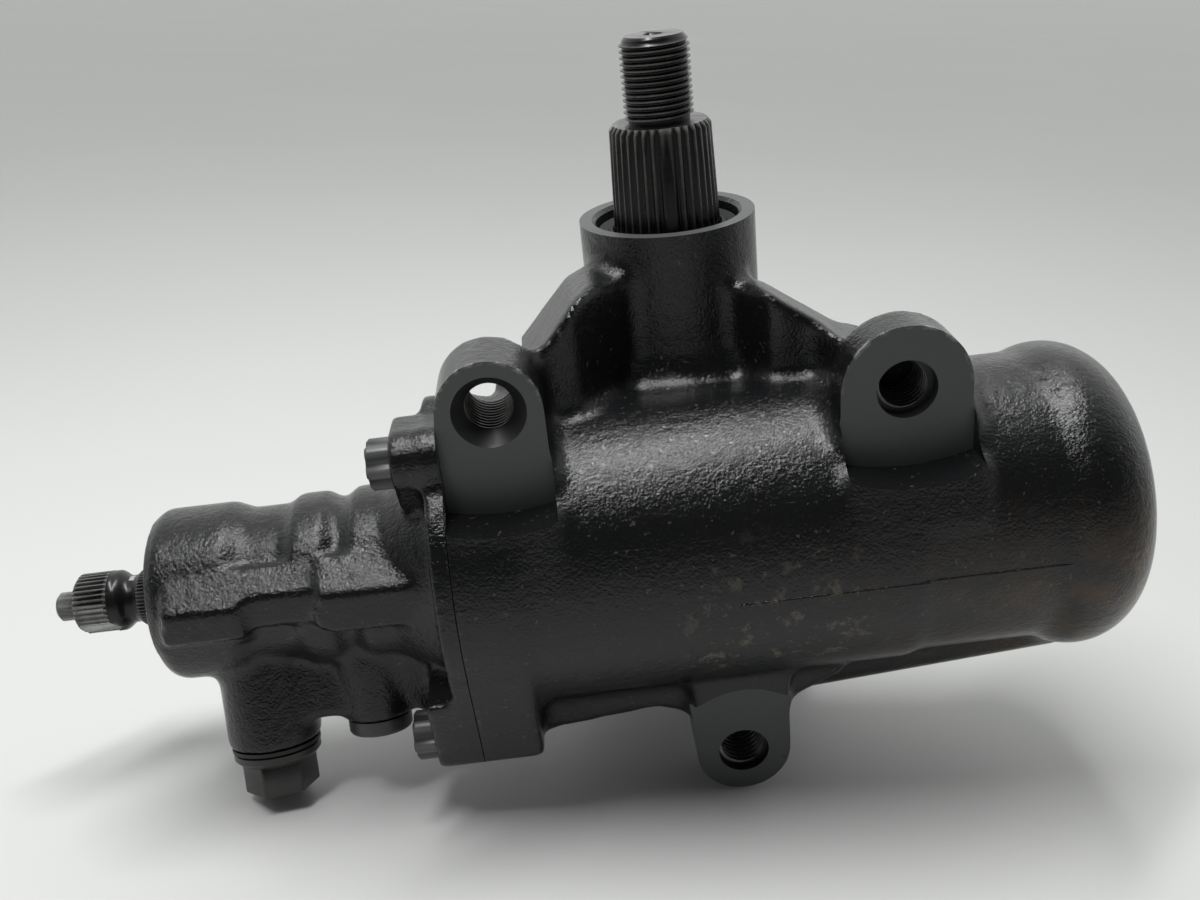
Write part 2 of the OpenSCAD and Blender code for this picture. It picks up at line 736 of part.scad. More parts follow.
module adjuster_locknut() {
    color("#3a3b3c") place() on_sector() difference() {
        hexagon_z(boss_bottom - locknut_t, boss_bottom, locknut_flats);
        rod_z(boss_bottom - locknut_t - 1, boss_bottom + 1, adjuster_r + eps);
    }
}

module sector_upper_bearing() {
    color("#8d8f92") place() on_sector() ring_z(bearing_bottom, bearing_top, journal_r + run, upper_bearing_r);
}

module sector_lower_bearing() {
    color("#8d8f92") place() on_sector()
        ring_z(cover_hub_top - 1 - lower_bearing_h, cover_hub_top - 1, lower_journal_r + run, lower_bearing_r - eps);
}

module sector_seal_washer() {
    color("#77797b") place() on_sector() ring_z(washer_z, seal_z, journal_r + 0.5, seal_bore_r - seat);
}

// A lip seal: a stiff rim, a thin floor and a lip that rides on the shaft
module lip_seal(z0, z1, r_shaft, r_out) {
    difference() {
        rod_z(z0, z1, r_out);
        rod_z(z0 - 1, z1 + 1, r_shaft + run);
        ring_z(z0 - 1, z0 + (z1 - z0) * lip_share, r_shaft + lip_t, r_out - lip_t);
    }
}

module sector_oil_seal() {
    color("#1a1a1c") place() on_sector() lip_seal(seal_z, seal_z + seal_t, journal_r, seal_bore_r - seat);
}

module sector_snap_ring() {
    color("#505254") place() on_sector() difference() {
        ring_z(snap_z, snap_z + snap_t, journal_r + 2, seal_bore_r + snap_bite);
        translate([0, -snap_gap / 2, snap_z - 1]) cube([seal_bore_r + 2 * snap_bite, snap_gap, snap_t + 2]);
    }
}

module sector_dust_seal() {
    color("#151516") place() on_sector() difference() {
        rod_z(dust_z, dust_top, seal_bore_r - seat);
        rod_z(dust_z - 1, dust_top + 1, journal_r + run);
        ring_z(dust_top - dust_groove, dust_top + 1, journal_r + lip_t + 0.6, seal_bore_r - lip_t - 0.2);
    }
}

module input_bearing() {
    color("#8d8f92") place()
        ring_x(input_bearing_x, input_bearing_x + input_bearing_w, input_journal_r + run, input_bearing_r - eps);
}

module input_oil_seal() {
    color("#1a1a1c") place() difference() {
        ring_x(input_seal_x, input_seal_x + input_seal_w, input_journal_r + run, input_seal_r - eps);
        ring_x(input_seal_x + 3.4, input_seal_x + input_seal_w + 1, input_journal_r + 1.4, input_seal_r - 1.4);
    }
}

module input_snap_ring() {
    color("#505254") place() difference() {
        ring_x(valve_end + 0.8, valve_end + 2.4, input_seal_r - 3, input_seal_r + 1);
        translate([valve_end, -3, 0]) cube([4, 6, input_seal_r + 4]);
    }
}

module ball_groove_x() {
    translate([bearing_in_x + bearing_w / 2, 0, 0]) rotate([0, 90, 0])
        rotate_extrude() translate([bearing_ball_circle, 0]) circle(bearing_ball_r + run);
}

module worm_bearing_outer_race() {
    color("#9a9c9f") place() difference() {
        ring_x(bearing_in_x, bearing_out_x, bearing_ball_circle + 2.6, worm_bearing_r - eps);
        ball_groove_x();
    }
}

module worm_bearing_lock_ring() {
    color("#5c5e60") place() ring_x(bearing_out_x, spigot_end - 0.4, lock_ring_in_r, worm_bearing_r - eps);
}

module pressure_plug() {
    washer_face = -pressure_face - plug_washer_t;
    collar_r = pressure_boss_r - 1;
    color("#202122") place() on_port(pressure_port_x) {
        rod_z(washer_face - plug_collar_t, washer_face, collar_r);
        translate([0, 0, washer_face - plug_collar_t - 2])
            cylinder(r1 = plug_flats / 2, r2 = collar_r, h = 2 + eps);
        rotate([0, 0, plug_turn])
            hexagon_z(washer_face - plug_collar_t - plug_hex_h, washer_face - plug_collar_t, plug_flats);
        rod_z(washer_face - eps, -pressure_face + plug_depth, pressure_thread_r - eps);
    }
}

module pressure_plug_washer() {
    color("#202122") place() on_port(pressure_port_x)
        ring_z(-pressure_face - plug_washer_t, -pressure_face, pressure_thread_r, pressure_boss_r - 0.8);
}

module return_plug() {
    socket_flats = 8;
    color("#1e1f20") place() on_port(return_port_x) difference() {
        union() {
            rod_z(-return_face - return_head_h, -return_face, return_plug_r);
            rod_z(-return_face - eps, -return_face + plug_depth, return_thread_r - eps);
        }
        hexagon_z(-return_face - return_head_h - 1, -return_face + 2, socket_flats);
    }
}

// Involute flank of the sector teeth
function inv(a) = tan(a) * 180 / PI - a;

function flank_angle(r) = 90 / full_teeth + inv(pressure_angle) - inv(acos(min(1, base_r / r)));

function tooth_side(side) = [
    for (k = [0:8])
        let (r = base_r + (sector_tip_r - base_r) * k / 8, a = side * flank_angle(r))
        [r * cos(a), r * sin(a)]
];

function reversed(list) = [for (i = [len(list) - 1:-1:0]) list[i]];

function tooth_root(side) = [(sector_root_r - 2) * cos(flank_angle(base_r)),
                             side * (sector_root_r - 2) * sin(flank_angle(base_r))];

module sector_teeth() {
    for (k = [-1:1])
        rotate([0, 0, -90 + k * 360 / full_teeth])
            polygon(concat([tooth_root(-1)], tooth_side(-1), reversed(tooth_side(1)), [tooth_root(1)]));
}

module serration(z0, z1, r0, r1) {
    intersection() {
        translate([0, 0, z0]) cylinder(r1 = r0, r2 = r1, h = z1 - z0);
        translate([0, 0, z0 - 1]) linear_extrude(z1 - z0 + 2)
            polygon(wheel(serration_teeth, r1 - serration_depth, r0 + 1));
    }
}

module sector_shaft() {
    color("#3c3d3f") place() on_sector() difference() {
        union() {
            rod_z(shaft_bottom, 0, lower_journal_r);
            translate([0, 0, -sector_half]) linear_extrude(sector_face) {
                circle(sector_root_r);
                sector_teeth();
            }
            rod_z(0, serration_foot_z, journal_r);
            serration(serration_foot_z, serration_top_z, serration_foot_r, serration_top_r);
            rod_z(serration_top_z - eps, serration_top_z + undercut_length, thread_r - undercut);
            rod_z(serration_top_z + undercut_length, shaft_top_z - thread_chamfer, thread_r);
            translate([0, 0, shaft_top_z - thread_chamfer])
                cylinder(r1 = thread_r, r2 = thread_r - thread_chamfer, h = thread_chamfer);
        }
        rod_z(shaft_bottom - 1, shaft_bottom + screw_pocket_t, screw_head_r + 0.06);
        translate([0, 0, shaft_top_z - centre_depth]) cylinder(r1 = 0.5, r2 = centre_r, h = centre_depth + eps);
    }
}

// One space between two rack teeth
module rack_space() {
    half = pitch / 4 + backlash / 2;
    slope = tan(pressure_angle);
    mouth = rack_addendum + 1;
    polygon([[half + mouth * slope, mouth], [half - rack_dedendum * slope, -rack_dedendum],
             [-half + rack_dedendum * slope, -rack_dedendum], [-half - mouth * slope, mouth]]);
}

// Ball guides, their clip and its screws
guide_span = worm_lead * 1.25;
guide_r = ball_r + 1.2;
guide_z = 6;
guide_rise = 6;
guide_room = 14.5;
guide_pocket_y = bore_r - guide_room;
guide_top_y = -guide_pocket_y - guide_rise;
clip_t = 1.2;
clip_half = [5, 11];
strap_t = 1.5;
strap_half = 1.6;
strap_eye_r = 3.8;
guide_screw_x = guide_span + 8;
guide_screw_r = 2;
guide_screw_depth = 6;
guide_head_t = 2.5;
piston_ring_w = 3.2;
piston_ring_t = 3.9;
piston_ring_x = piston_right_x - 15.9;

module at_guide_screws() for (x = [-guide_screw_x, guide_screw_x]) translate([x, 0, 0]) children();

module rack_piston() {
    color("#6d6f72") place() difference() {
        rod_x(-piston_left_x, piston_right_x, bore_r - run);
        block(-rack_half, rack_half, rack_pitch_y + rack_addendum, bore_r + 1, -bore_r, bore_r);
        for (k = [-1:1])
            translate([k * pitch, rack_pitch_y, -bore_r]) linear_extrude(2 * bore_r) rack_space();
        rod_x(-piston_left_x - 1, piston_right_x - 8, nut_bore_r);
        ring_x(piston_ring_x - seat, piston_ring_x + piston_ring_w + seat, bore_r - piston_ring_t - seat, bore_r + 1);
        block(-guide_screw_x - strap_eye_r, guide_screw_x + strap_eye_r, -bore_r - 1, -guide_pocket_y,
              -clip_half.y - 2, clip_half.y + 2);
        for (x = [-guide_span, guide_span])
            for (z = [-guide_z, guide_z])
                translate([x, 0, z]) rod_y(-guide_pocket_y - 1, 0, guide_r + seat);
        at_guide_screws() rod_y(-guide_pocket_y - 1, -guide_pocket_y + guide_screw_depth + 1, guide_screw_r);
    }
}

module piston_ring() {
    color("#7a5f3e") place()
        ring_x(piston_ring_x, piston_ring_x + piston_ring_w, bore_r - piston_ring_t, bore_r - run);
}

module recirculating_balls() {
    color("#b9bbbe") place() for (i = [0:balls - 1])
        let (a = (i - (balls - 1) / 2) * ball_pitch_angle)
        translate([a / 360 * worm_lead, -ball_circle_r * sin(a), ball_circle_r * cos(a)]) sphere(ball_r);
}

// Two return guides: each has two legs down to the ball track and a bridge between them
module ball_guides() {
    color("#86888b") place() for (z = [-guide_z, guide_z]) translate([0, 0, z]) {
        for (x = [-guide_span, guide_span])
            translate([x, 0, 0]) rod_y(guide_top_y, -nut_bore_r - 1.2, guide_r);
        translate([0, guide_top_y, 0]) rod_x(-guide_span, guide_span, guide_r);
        for (x = [-guide_span, guide_span])
            translate([x, guide_top_y, 0]) sphere(guide_r);
    }
}

module guide_clip() {
    clip_y = guide_top_y - guide_r - seat;
    color("#9b9da0") place() difference() {
        union() {
            block(-clip_half.x, clip_half.x, clip_y - clip_t, clip_y, -clip_half.y, clip_half.y);
            block(-guide_screw_x, guide_screw_x, -guide_pocket_y - strap_t, -guide_pocket_y, -strap_half, strap_half);
            block(-strap_half, strap_half, clip_y, -guide_pocket_y, -strap_half, strap_half);
            at_guide_screws() rod_y(-guide_pocket_y - strap_t, -guide_pocket_y, strap_eye_r);
        }
        at_guide_screws() rod_y(-guide_pocket_y - 2 * strap_t, -guide_pocket_y + 1, guide_screw_r + 0.2);
    }
}

module guide_screws() {
    color("#77797c") place() at_guide_screws() {
        rod_y(-guide_pocket_y - strap_t - eps, -guide_pocket_y + guide_screw_depth, guide_screw_r - eps);
        rod_y(-guide_pocket_y - strap_t - guide_head_t, -guide_pocket_y - strap_t, strap_eye_r - 0.2);
    }
}

// Section of the worm: its radius at an angle from the middle of the ball groove
function groove_radius(a) = abs(a) < 360 * groove_r / worm_lead
    ? min(worm_land_r, ball_circle_r - sqrt(pow(groove_r, 2) - pow(a / 360 * worm_lead, 2)))
    : worm_land_r;

function worm_section() = [
    for (i = [0:groove_points - 1])
        let (a = i * 360 / groove_points - 180)
        groove_radius(a) * [cos(a), sin(a)]
];

// The part of the worm with the right-hand ball groove
module worm_thread() {
    turns = 2 * worm_groove_half / worm_lead;
    translate([-worm_groove_half, 0, 0]) rotate([0, 90, 0])
        linear_extrude(2 * worm_groove_half, twist = -360 * turns, slices = ceil(turns * groove_slices),
                       $fn = groove_points)
            rotate(180 - 180 * turns) polygon(worm_section());
}

module worm_shaft() {
    color("#8a8c8f") place() difference() {
        union() {
            worm_thread();
            rod_x(worm_collar_left, sleeve_right + 1, rotor_r);
            rod_x(sleeve_right, bearing_out_x, worm_journal_r);
            rod_x(bearing_out_x, spigot_end - 0.4, shoulder_r);
            cone_x(spigot_end - 0.4 - eps, worm_root_x, worm_core_r + 3, worm_core_r);
            rod_x(worm_root_x - eps, -worm_groove_half + 1, worm_core_r);
            rod_x(worm_groove_half - 1, worm_end_x, worm_core_r);
        }
        rod_x(worm_collar_left - 1, bearing_out_x, torsion_end_r + run);
        translate([sleeve_pin_x, 0, 0]) rod_z(rotor_r - sleeve_pin_in - 0.5, rotor_r + 1, sleeve_pin_r);
    }
}

module worm_bearing_inner_race() {
    color("#9a9c9f") place() difference() {
        ring_x(bearing_in_x, bearing_out_x, worm_journal_r, worm_bearing_in_r + 0.6);
        ball_groove_x();
    }
}

module worm_bearing_balls() {
    color("#b9bbbe") place() for (i = [0:bearing_balls - 1])
        rotate([i * 360 / bearing_balls, 0, 0])
            translate([bearing_in_x + bearing_w / 2, 0, bearing_ball_circle]) sphere(bearing_ball_r);
}

sleeve_land = (sleeve_right - sleeve_left) / 4;
sleeve_play = 0.3;
oil_groove_depth = 2.6;
ring_groove_depth = 1.8;
sleeve_port_r = 1.8;

module valve_sleeve() {
    color("#96989b") place() difference() {
        rod_x(sleeve_left, sleeve_right, sleeve_r - sleeve_play);
        rod_x(sleeve_left - 1, sleeve_right + 1, rotor_r + run);
        for (i = [0:2])
            ring_x(sleeve_left + sleeve_land * (i + 0.7), sleeve_left + sleeve_land * (i + 1.3),
                   sleeve_r - oil_groove_depth, sleeve_r + 1);
        for (i = [0:3])
            ring_x(sleeve_left + sleeve_land * (i + 0.4), sleeve_left + sleeve_land * (i + 0.6),
                   sleeve_r - ring_groove_depth, sleeve_r + 1);
        for (i = [0:2])
            for (a = [0:90:270])
                rotate([a + i * 30, 0, 0])
                    translate([sleeve_left + sleeve_land * (i + 1), 0, 0]) rod_z(0, sleeve_r, sleeve_port_r);
        translate([sleeve_pin_x, 0, 0]) rod_z(0, sleeve_r + 1, sleeve_pin_r);
    }
}

module sleeve_rings() {
    color("#6b4a2c") place() for (i = [0:3])
        ring_x(sleeve_left + sleeve_land * (i + 0.4) + eps, sleeve_left + sleeve_land * (i + 0.6) - eps,
               sleeve_r - ring_groove_depth + eps, sleeve_r);
}

module sleeve_pin() {
    color("#a5a7aa") place() translate([sleeve_pin_x, 0, 0])
        rod_z(rotor_r - sleeve_pin_in, sleeve_r - 0.8, sleeve_pin_r - eps);
}

module input_serration() {
    difference() {
        intersection() {
            rod_x(-input_serration_x, input_serration_end, input_serration_r);
            translate([-input_serration_x, 0, 0]) rotate([0, 90, 0]) linear_extrude(input_serration_length)
                polygon(wheel(input_teeth, input_serration_r - input_tooth_depth, input_serration_r + 1));
        }
        rotate([-input_flat_turn, 0, 0])
            block(-input_serration_x - 1, input_serration_end + 1, -input_serration_r, input_serration_r,
                  -2 * input_serration_r, -input_serration_r + input_flat_depth);
    }
}

module input_shaft() {
    waist_x0 = input_serration_end + input_shoulder;
    collar_x = bar_pin_x + bar_pin_r + 1;
    color("#333436") place() difference() {
        union() {
            input_serration();
            rod_x(input_serration_end - eps, waist_x0, input_shoulder_r);
            cone_x(waist_x0 - eps, waist_x0 + input_waist, input_shoulder_r, input_neck_r);
            rod_x(input_serration_end, valve_end, input_neck_r);
            cone_x(collar_x, collar_x + 1, input_neck_r, input_collar_r);
            rod_x(collar_x + 1 - eps, valve_end, input_collar_r);
            rod_x(valve_end - eps, sleeve_left, input_journal_r);
            rod_x(sleeve_left - eps, rotor_right, rotor_r);
        }
        rod_x(-input_serration_x - 1, rotor_right + 1, torsion_end_r + run);
        for (i = [0:rotor_slots - 1])
            rotate([i * 360 / rotor_slots, 0, 0]) translate([0, 0, rotor_r])
                rod_x(sleeve_left + rotor_land, rotor_right - rotor_land, rotor_slot_r);
        translate([bar_pin_x, 0, 0]) rod_z(-input_serration_r, input_serration_r, bar_pin_r);
    }
}

module torsion_bar() {
    thin_r = torsion_end_r - 1.4;
    color("#2c2d2e") place() difference() {
        union() {
            cone_x(-input_tip_x, -input_tip_x + tip_chamfer, torsion_tip_r - tip_chamfer, torsion_tip_r);
            rod_x(-input_tip_x + tip_chamfer - eps, -input_serration_x - tip_relief, torsion_tip_r);
            rod_x(-input_serration_x - tip_relief - eps, -input_serration_x + tip_relief, torsion_tip_r - tip_groove);
            rod_x(-input_serration_x + tip_relief - eps, bar_pin_x + bar_end_past_pin, torsion_end_r);
            rod_x(bar_pin_x + bar_end_past_pin - eps, worm_collar_left + bar_end_past_pin, thin_r);
            rod_x(worm_collar_left + bar_end_past_pin - eps, bearing_out_x - 1, torsion_end_r);
        }
        translate([bar_pin_x, 0, 0]) rod_z(-input_serration_r, input_serration_r, bar_pin_r);
    }
}

module torsion_bar_pin() {
    color("#a5a7aa") place() translate([bar_pin_x, 0, 0]) rod_z(-input_neck_r, input_neck_r, bar_pin_r - 0.03);
}

gear_housing();
valve_housing();
valve_housing_bolts();
valve_housing_seal();
side_cover();
side_cover_bolts();
side_cover_seal();
adjuster_screw();
adjuster_locknut();
sector_upper_bearing();
sector_lower_bearing();
sector_seal_washer();
sector_oil_seal();
sector_snap_ring();
sector_dust_seal();
input_bearing();
input_oil_seal();
input_snap_ring();
worm_bearing_outer_race();
worm_bearing_lock_ring();
pressure_plug();
pressure_plug_washer();
return_plug();
sector_shaft();
rack_piston();
piston_ring();
recirculating_balls();
ball_guides();
guide_clip();
guide_screws();
worm_shaft();
worm_bearing_inner_race();
worm_bearing_balls();
valve_sleeve();
sleeve_rings();
sleeve_pin();
input_shaft();
torsion_bar();
torsion_bar_pin();
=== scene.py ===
import json
import math

import bmesh
import bpy
from mathutils import Euler, Matrix, Vector


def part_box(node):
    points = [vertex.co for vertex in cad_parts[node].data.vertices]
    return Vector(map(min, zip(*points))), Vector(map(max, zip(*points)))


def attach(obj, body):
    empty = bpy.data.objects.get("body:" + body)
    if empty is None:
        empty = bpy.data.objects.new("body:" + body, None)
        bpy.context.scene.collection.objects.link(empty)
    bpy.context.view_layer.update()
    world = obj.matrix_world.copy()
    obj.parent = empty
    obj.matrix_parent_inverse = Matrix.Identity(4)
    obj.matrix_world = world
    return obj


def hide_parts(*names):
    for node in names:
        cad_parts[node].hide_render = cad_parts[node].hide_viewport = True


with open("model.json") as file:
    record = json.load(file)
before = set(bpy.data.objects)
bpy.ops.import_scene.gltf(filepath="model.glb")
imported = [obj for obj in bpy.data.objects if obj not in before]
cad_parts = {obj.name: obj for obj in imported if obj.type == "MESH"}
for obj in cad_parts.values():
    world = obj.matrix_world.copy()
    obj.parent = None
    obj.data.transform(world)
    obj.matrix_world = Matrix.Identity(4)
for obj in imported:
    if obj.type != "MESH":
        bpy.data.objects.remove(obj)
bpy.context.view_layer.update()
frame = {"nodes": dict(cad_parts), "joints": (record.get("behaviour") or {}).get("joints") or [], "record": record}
nodes = frame["nodes"]
MM = 0.001

# Axes and interfaces of the gear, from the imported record
X, Y, Z = Vector((1, 0, 0)), Vector((0, 1, 0)), Vector((0, 0, 1))
joint_at = {j["name"]: Vector(j["pos_m"]) for j in frame["joints"] if "pos_m" in j}
mount_at = {m["name"]: Vector(m["pos_m"]) for m in frame["record"]["mounts"]}
mount_r = {m["name"]: m["dims"]["r_mm"] * MM for m in frame["record"]["mounts"]
           if "r_mm" in m.get("dims", {})}
WORM = joint_at["worm_turn"]
SECTOR = joint_at["sector_turn"]
PAD_Y = mount_at["mounting_pad_face"].y
JOINT_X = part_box("gear_housing")[0].x
TOWER_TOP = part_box("gear_housing")[1].z
INPUT_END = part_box("valve_housing")[0].x

# Sizes that the record does not give
COVER_Z = WORM.z - 47 * MM
SEAM_Z = WORM.z + 0.8 * MM
PORT_LEAN = math.radians(18.5)
HOLE_THREAD = dict(minor=7 * MM, major=8 * MM, pitch=2 * MM)
UPPER_PADS = ("left_mounting_hole", "right_mounting_hole")
PAD_HALF = {"left_mounting_hole": 15.5 * MM, "right_mounting_hole": 19.3 * MM,
            "lower_mounting_hole": 15.4 * MM}
HOLE_BOTTOM = {"left_mounting_hole": 45 * MM, "right_mounting_hole": 20 * MM,
               "lower_mounting_hole": 24 * MM}
THREAD_SHOWN = 24 * MM
# Depth of each hole's mouth, and how far its rim and its foot lie outside the thread
HOLE_MOUTH = {"left_mounting_hole": (5.2 * MM, 4.5 * MM, -0.1 * MM),
              "right_mounting_hole": (4 * MM, 1.9 * MM, 1.9 * MM),
              "lower_mounting_hole": (3 * MM, 1.2 * MM, 1.2 * MM)}
THREAD_LAP = 0.3 * MM
LEDGE_Z = WORM.z + 28.5 * MM
LEDGE_CUTTER_R = 63 * MM
MACHINING_STOCK = 5 * MM
MERGE = 0.004 * MM
BARREL_R = 27.2 * MM
END_LAND = 1.6 * MM
JOINT_LINE = 0.3 * MM
EAR_T = 14.3 * MM
BOLT_HEAD = 7 * MM
BOLT_SHANK_R = 4.9 * MM
BOLT_FILL_R = 6.5 * MM
FILL_OUT = 7 * MM
RETURN_FACE = 47 * MM
BARE_CHIP = (0.34, 0.31, 0.27)
PORT_OUT = Vector((0, -math.sin(PORT_LEAN), -math.cos(PORT_LEAN)))


# Mesh helpers

def cad_copy(node):
    """A merged copy of a node's mesh."""
    bm = bmesh.new()
    bm.from_mesh(nodes[node].data)
    bmesh.ops.remove_doubles(bm, verts=bm.verts, dist=MERGE)
    return bm


def solids_of(node):
    """The lowest and highest corner of each separate solid in a node."""
    bm = cad_copy(node)
    left = set(bm.verts)
    boxes = []
    while left:
        reach = [left.pop()]
        found = []
        while reach:
            vert = reach.pop()
            found.append(vert.co.copy())
            for edge in vert.link_edges:
                other = edge.other_vert(vert)
                if other in left:
                    left.discard(other)
                    reach.append(other)
        low = Vector([min(p[i] for p in found) for i in range(3)])
        high = Vector([max(p[i] for p in found) for i in range(3)])
        boxes.append((low, high))
    bm.free()
    return sorted(boxes, key=lambda box: tuple(box[0]))


def facing(axis, at):
    """A matrix that stands Z along an axis, with its origin at a point."""
    return Matrix.Translation(at) @ axis.to_track_quat("Z", "Y").to_matrix().to_4x4()


def add_rod(bm, start, end, r, r_end=None, segments=64):
    """A closed rod or cone between two points."""
    axis = end - start
    bmesh.ops.create_cone(
        bm, cap_ends=True, segments=segments, radius1=r, radius2=r if r_end is None else r_end,
        depth=axis.length, matrix=facing(axis, (start + end) / 2))


def add_spun(bm, profile, at, axis, steps=96):
    """Spins a profile of (radius, height) points round an axis."""
    stand = facing(axis, at)
    verts = [bm.verts.new(stand @ Vector((r, 0, h))) for r, h in profile]
    edges = [bm.edges.new(pair) for pair in zip(verts, verts[1:])]
    bmesh.ops.spin(bm, geom=verts + edges, cent=at, axis=axis, angle=math.tau, steps=steps, use_merge=True)
    bmesh.ops.remove_doubles(bm, verts=bm.verts, dist=MERGE)


def add_thread(bm, at, axis, length, minor, major, pitch, steps=72):
    """A closed rod with a helical thread, from a point along an axis."""
    stand = facing(axis, at)
    turns = int(length / pitch) + 3
    outline = [(minor, 0.0), (minor, 0.14), (major, 0.44), (major, 0.6)]
    points = [(r, (k - 1.5 + share) * pitch) for k in range(turns) for r, share in outline]
    screw = bmesh.new()
    verts = [screw.verts.new(stand @ Vector((r, 0, h))) for r, h in points]
    edges = [screw.edges.new(pair) for pair in zip(verts, verts[1:])]
    bmesh.ops.spin(screw, geom=verts + edges, cent=at, axis=axis, dvec=axis * (pitch / steps),
                   angle=math.tau, steps=steps)
    bmesh.ops.remove_doubles(screw, verts=screw.verts, dist=MERGE)
    for level, outward in ((0.0, -axis), (length, axis)):
        everything = screw.verts[:] + screw.edges[:] + screw.faces[:]
        bmesh.ops.bisect_plane(screw, geom=everything, plane_co=at + axis * level, plane_no=outward,
                               clear_outer=True)
        rim = [e for e in screw.edges
               if e.is_boundary and abs((e.verts[0].co - at).dot(axis) - level) < MERGE]
        bmesh.ops.holes_fill(screw, edges=rim)
    bmesh.ops.recalc_face_normals(screw, faces=screw.faces)
    join(bm, screw)


def join(bm, other):
    """Moves another bmesh into this one."""
    carrier = bpy.data.meshes.new("carrier")
    other.to_mesh(carrier)
    other.free()
    bm.from_mesh(carrier)
    bpy.data.meshes.remove(carrier)


def raise_face(bm, axis, level, height):
    """Leaves machining stock on the flat faces at a level along an axis."""
    bm.normal_update()
    flat = [f for f in bm.faces
            if f.normal.dot(axis) > 0.999 and abs(f.calc_center_median().dot(axis) - level) < 0.05 * MM]
    made = bmesh.ops.extrude_face_region(bm, geom=flat)
    moved = [v for v in made["geom"] if isinstance(v, bmesh.types.BMVert)]
    bmesh.ops.translate(bm, verts=moved, vec=axis * height)


def trim(bm, axis, level):
    """Cuts off what lies past a level along an axis, and closes the cut."""
    everything = bm.verts[:] + bm.edges[:] + bm.faces[:]
    bmesh.ops.bisect_plane(bm, geom=everything, plane_co=axis * level, plane_no=axis, clear_outer=True)
    rim = [e for e in bm.edges if e.is_boundary]
    bmesh.ops.holes_fill(bm, edges=rim)


def temporary(name, bm):
    """A scene object that holds a bmesh while its modifiers run."""
    mesh = bpy.data.meshes.new(name)
    bm.to_mesh(mesh)
    bm.free()
    obj = bpy.data.objects.new(name, mesh)
    bpy.context.scene.collection.objects.link(obj)
    return obj


def evaluated(obj):
    """The mesh that an object has after its modifiers, as a bmesh."""
    depsgraph = bpy.context.evaluated_depsgraph_get()
    bm = bmesh.new()
    bm.from_object(obj, depsgraph)
    return bm


def discard(*objects):
    """Removes temporary objects with their meshes."""
    for obj in objects:
        mesh = obj.data
        bpy.data.objects.remove(obj)
        bpy.data.meshes.remove(mesh)


def cast_skin(bm, voxel, fillet, rounds):
    """Gives a shape the filleted, softened skin of a sand casting."""
    blank = temporary("casting_blank", bm)

    def remesh():
        step = blank.modifiers.new("Skin", "REMESH")
        step.mode = "VOXEL"
        step.voxel_size = voxel

    def swell(distance):
        step = blank.modifiers.new("Swell", "DISPLACE")
        step.mid_level = 0
        step.strength = distance

    remesh()
    swell(fillet)
    remesh()
    swell(-fillet)
    remesh()
    soften = blank.modifiers.new("Soften", "SMOOTH")
    soften.factor = 0.5
    soften.iterations = rounds
    skin = evaluated(blank)
    discard(blank)
    return skin


def machined(bm, cutters):
    """Cuts closed cutter shapes out of a casting."""
    work = temporary("casting_work", bm)
    tools = [temporary("casting_cutter", cutter) for cutter in cutters]
    for tool in tools:
        step = work.modifiers.new("Cut", "BOOLEAN")
        step.operation = "DIFFERENCE"
        step.solver = "MANIFOLD"
        step.object = tool
    cut = evaluated(work)
    discard(work, *tools)
    return cut


def fused(bm, parts):
    """Joins closed shapes into one skin."""
    work = temporary("turned_work", bm)
    others = [temporary("turned_part", part) for part in parts]
    for other in others:
        step = work.modifiers.new("Fuse", "BOOLEAN")
        step.operation = "UNION"
        step.solver = "MANIFOLD"
        step.object = other
    whole = evaluated(work)
    discard(work, *others)
    return whole


def add_serration(bm, at, axis, levels, teeth, depth, blanks=0):
    """A toothed rod: levels are (height, crest radius, depth left), from the foot up."""
    stand = facing(axis, at)
    share = ((-0.07, 1), (0.07, 1), (0.4, 0), (0.6, 0))
    rings = []
    for height, crest, left in levels:
        ring = []
        for tooth in range(teeth):
            filled = blanks and tooth % (teeth // blanks) == 0
            for step, low in share:
                angle = (tooth + step) * math.tau / teeth
                r = crest - (0 if filled else low * depth * left)
                ring.append(bm.verts.new(stand @ Vector((r * math.cos(angle), r * math.sin(angle), height))))
        rings.append(ring)
    loops = [[bm.edges.new((ring[i - 1], ring[i])) for i in range(len(ring))] for ring in rings]
    for low, high in zip(loops, loops[1:]):
        bmesh.ops.bridge_loops(bm, edges=low + high)
    for loop in (loops[0], loops[-1]):
        bmesh.ops.contextual_create(bm, geom=loop)
    bmesh.ops.recalc_face_normals(bm, faces=bm.faces)


def add_prism(bm, section, x_start, x_end):
    """A section of (y, z) points in mm from the worm axis, drawn out along X."""
    ring = [bm.verts.new((x_start, WORM.y + y * MM, WORM.z + z * MM)) for y, z in section]
    made = bmesh.ops.contextual_create(bm, geom=ring)["faces"]
    pushed = bmesh.ops.extrude_face_region(bm, geom=made)["geom"]
    far = [v for v in pushed if isinstance(v, bmesh.types.BMVert)]
    bmesh.ops.translate(bm, verts=far, vec=X * (x_end - x_start))
    bmesh.ops.recalc_face_normals(bm, faces=bm.faces)


def cutter(shape, *values, **more):
    """A closed shape in a bmesh of its own, to cut with or to join."""
    bm = bmesh.new()
    shape(bm, *values, **more)
    bmesh.ops.recalc_face_normals(bm, faces=bm.faces)
    return bm


def piece(name, bm, body, materials, stands_for=(), sharp=35):
    """Turns a bmesh into a finished piece that rides on a body."""
    mesh = bpy.data.meshes.new(name)
    bm.to_mesh(mesh)
    bm.free()
    for material in materials:
        mesh.materials.append(material)
    mesh.shade_smooth()
    mesh.set_sharp_from_angle(angle=math.radians(sharp))
    obj = bpy.data.objects.new(name, mesh)
    bpy.context.scene.collection.objects.link(obj)
    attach(obj, body)
    if stands_for:
        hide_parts(*stands_for)
    return obj


# Materials

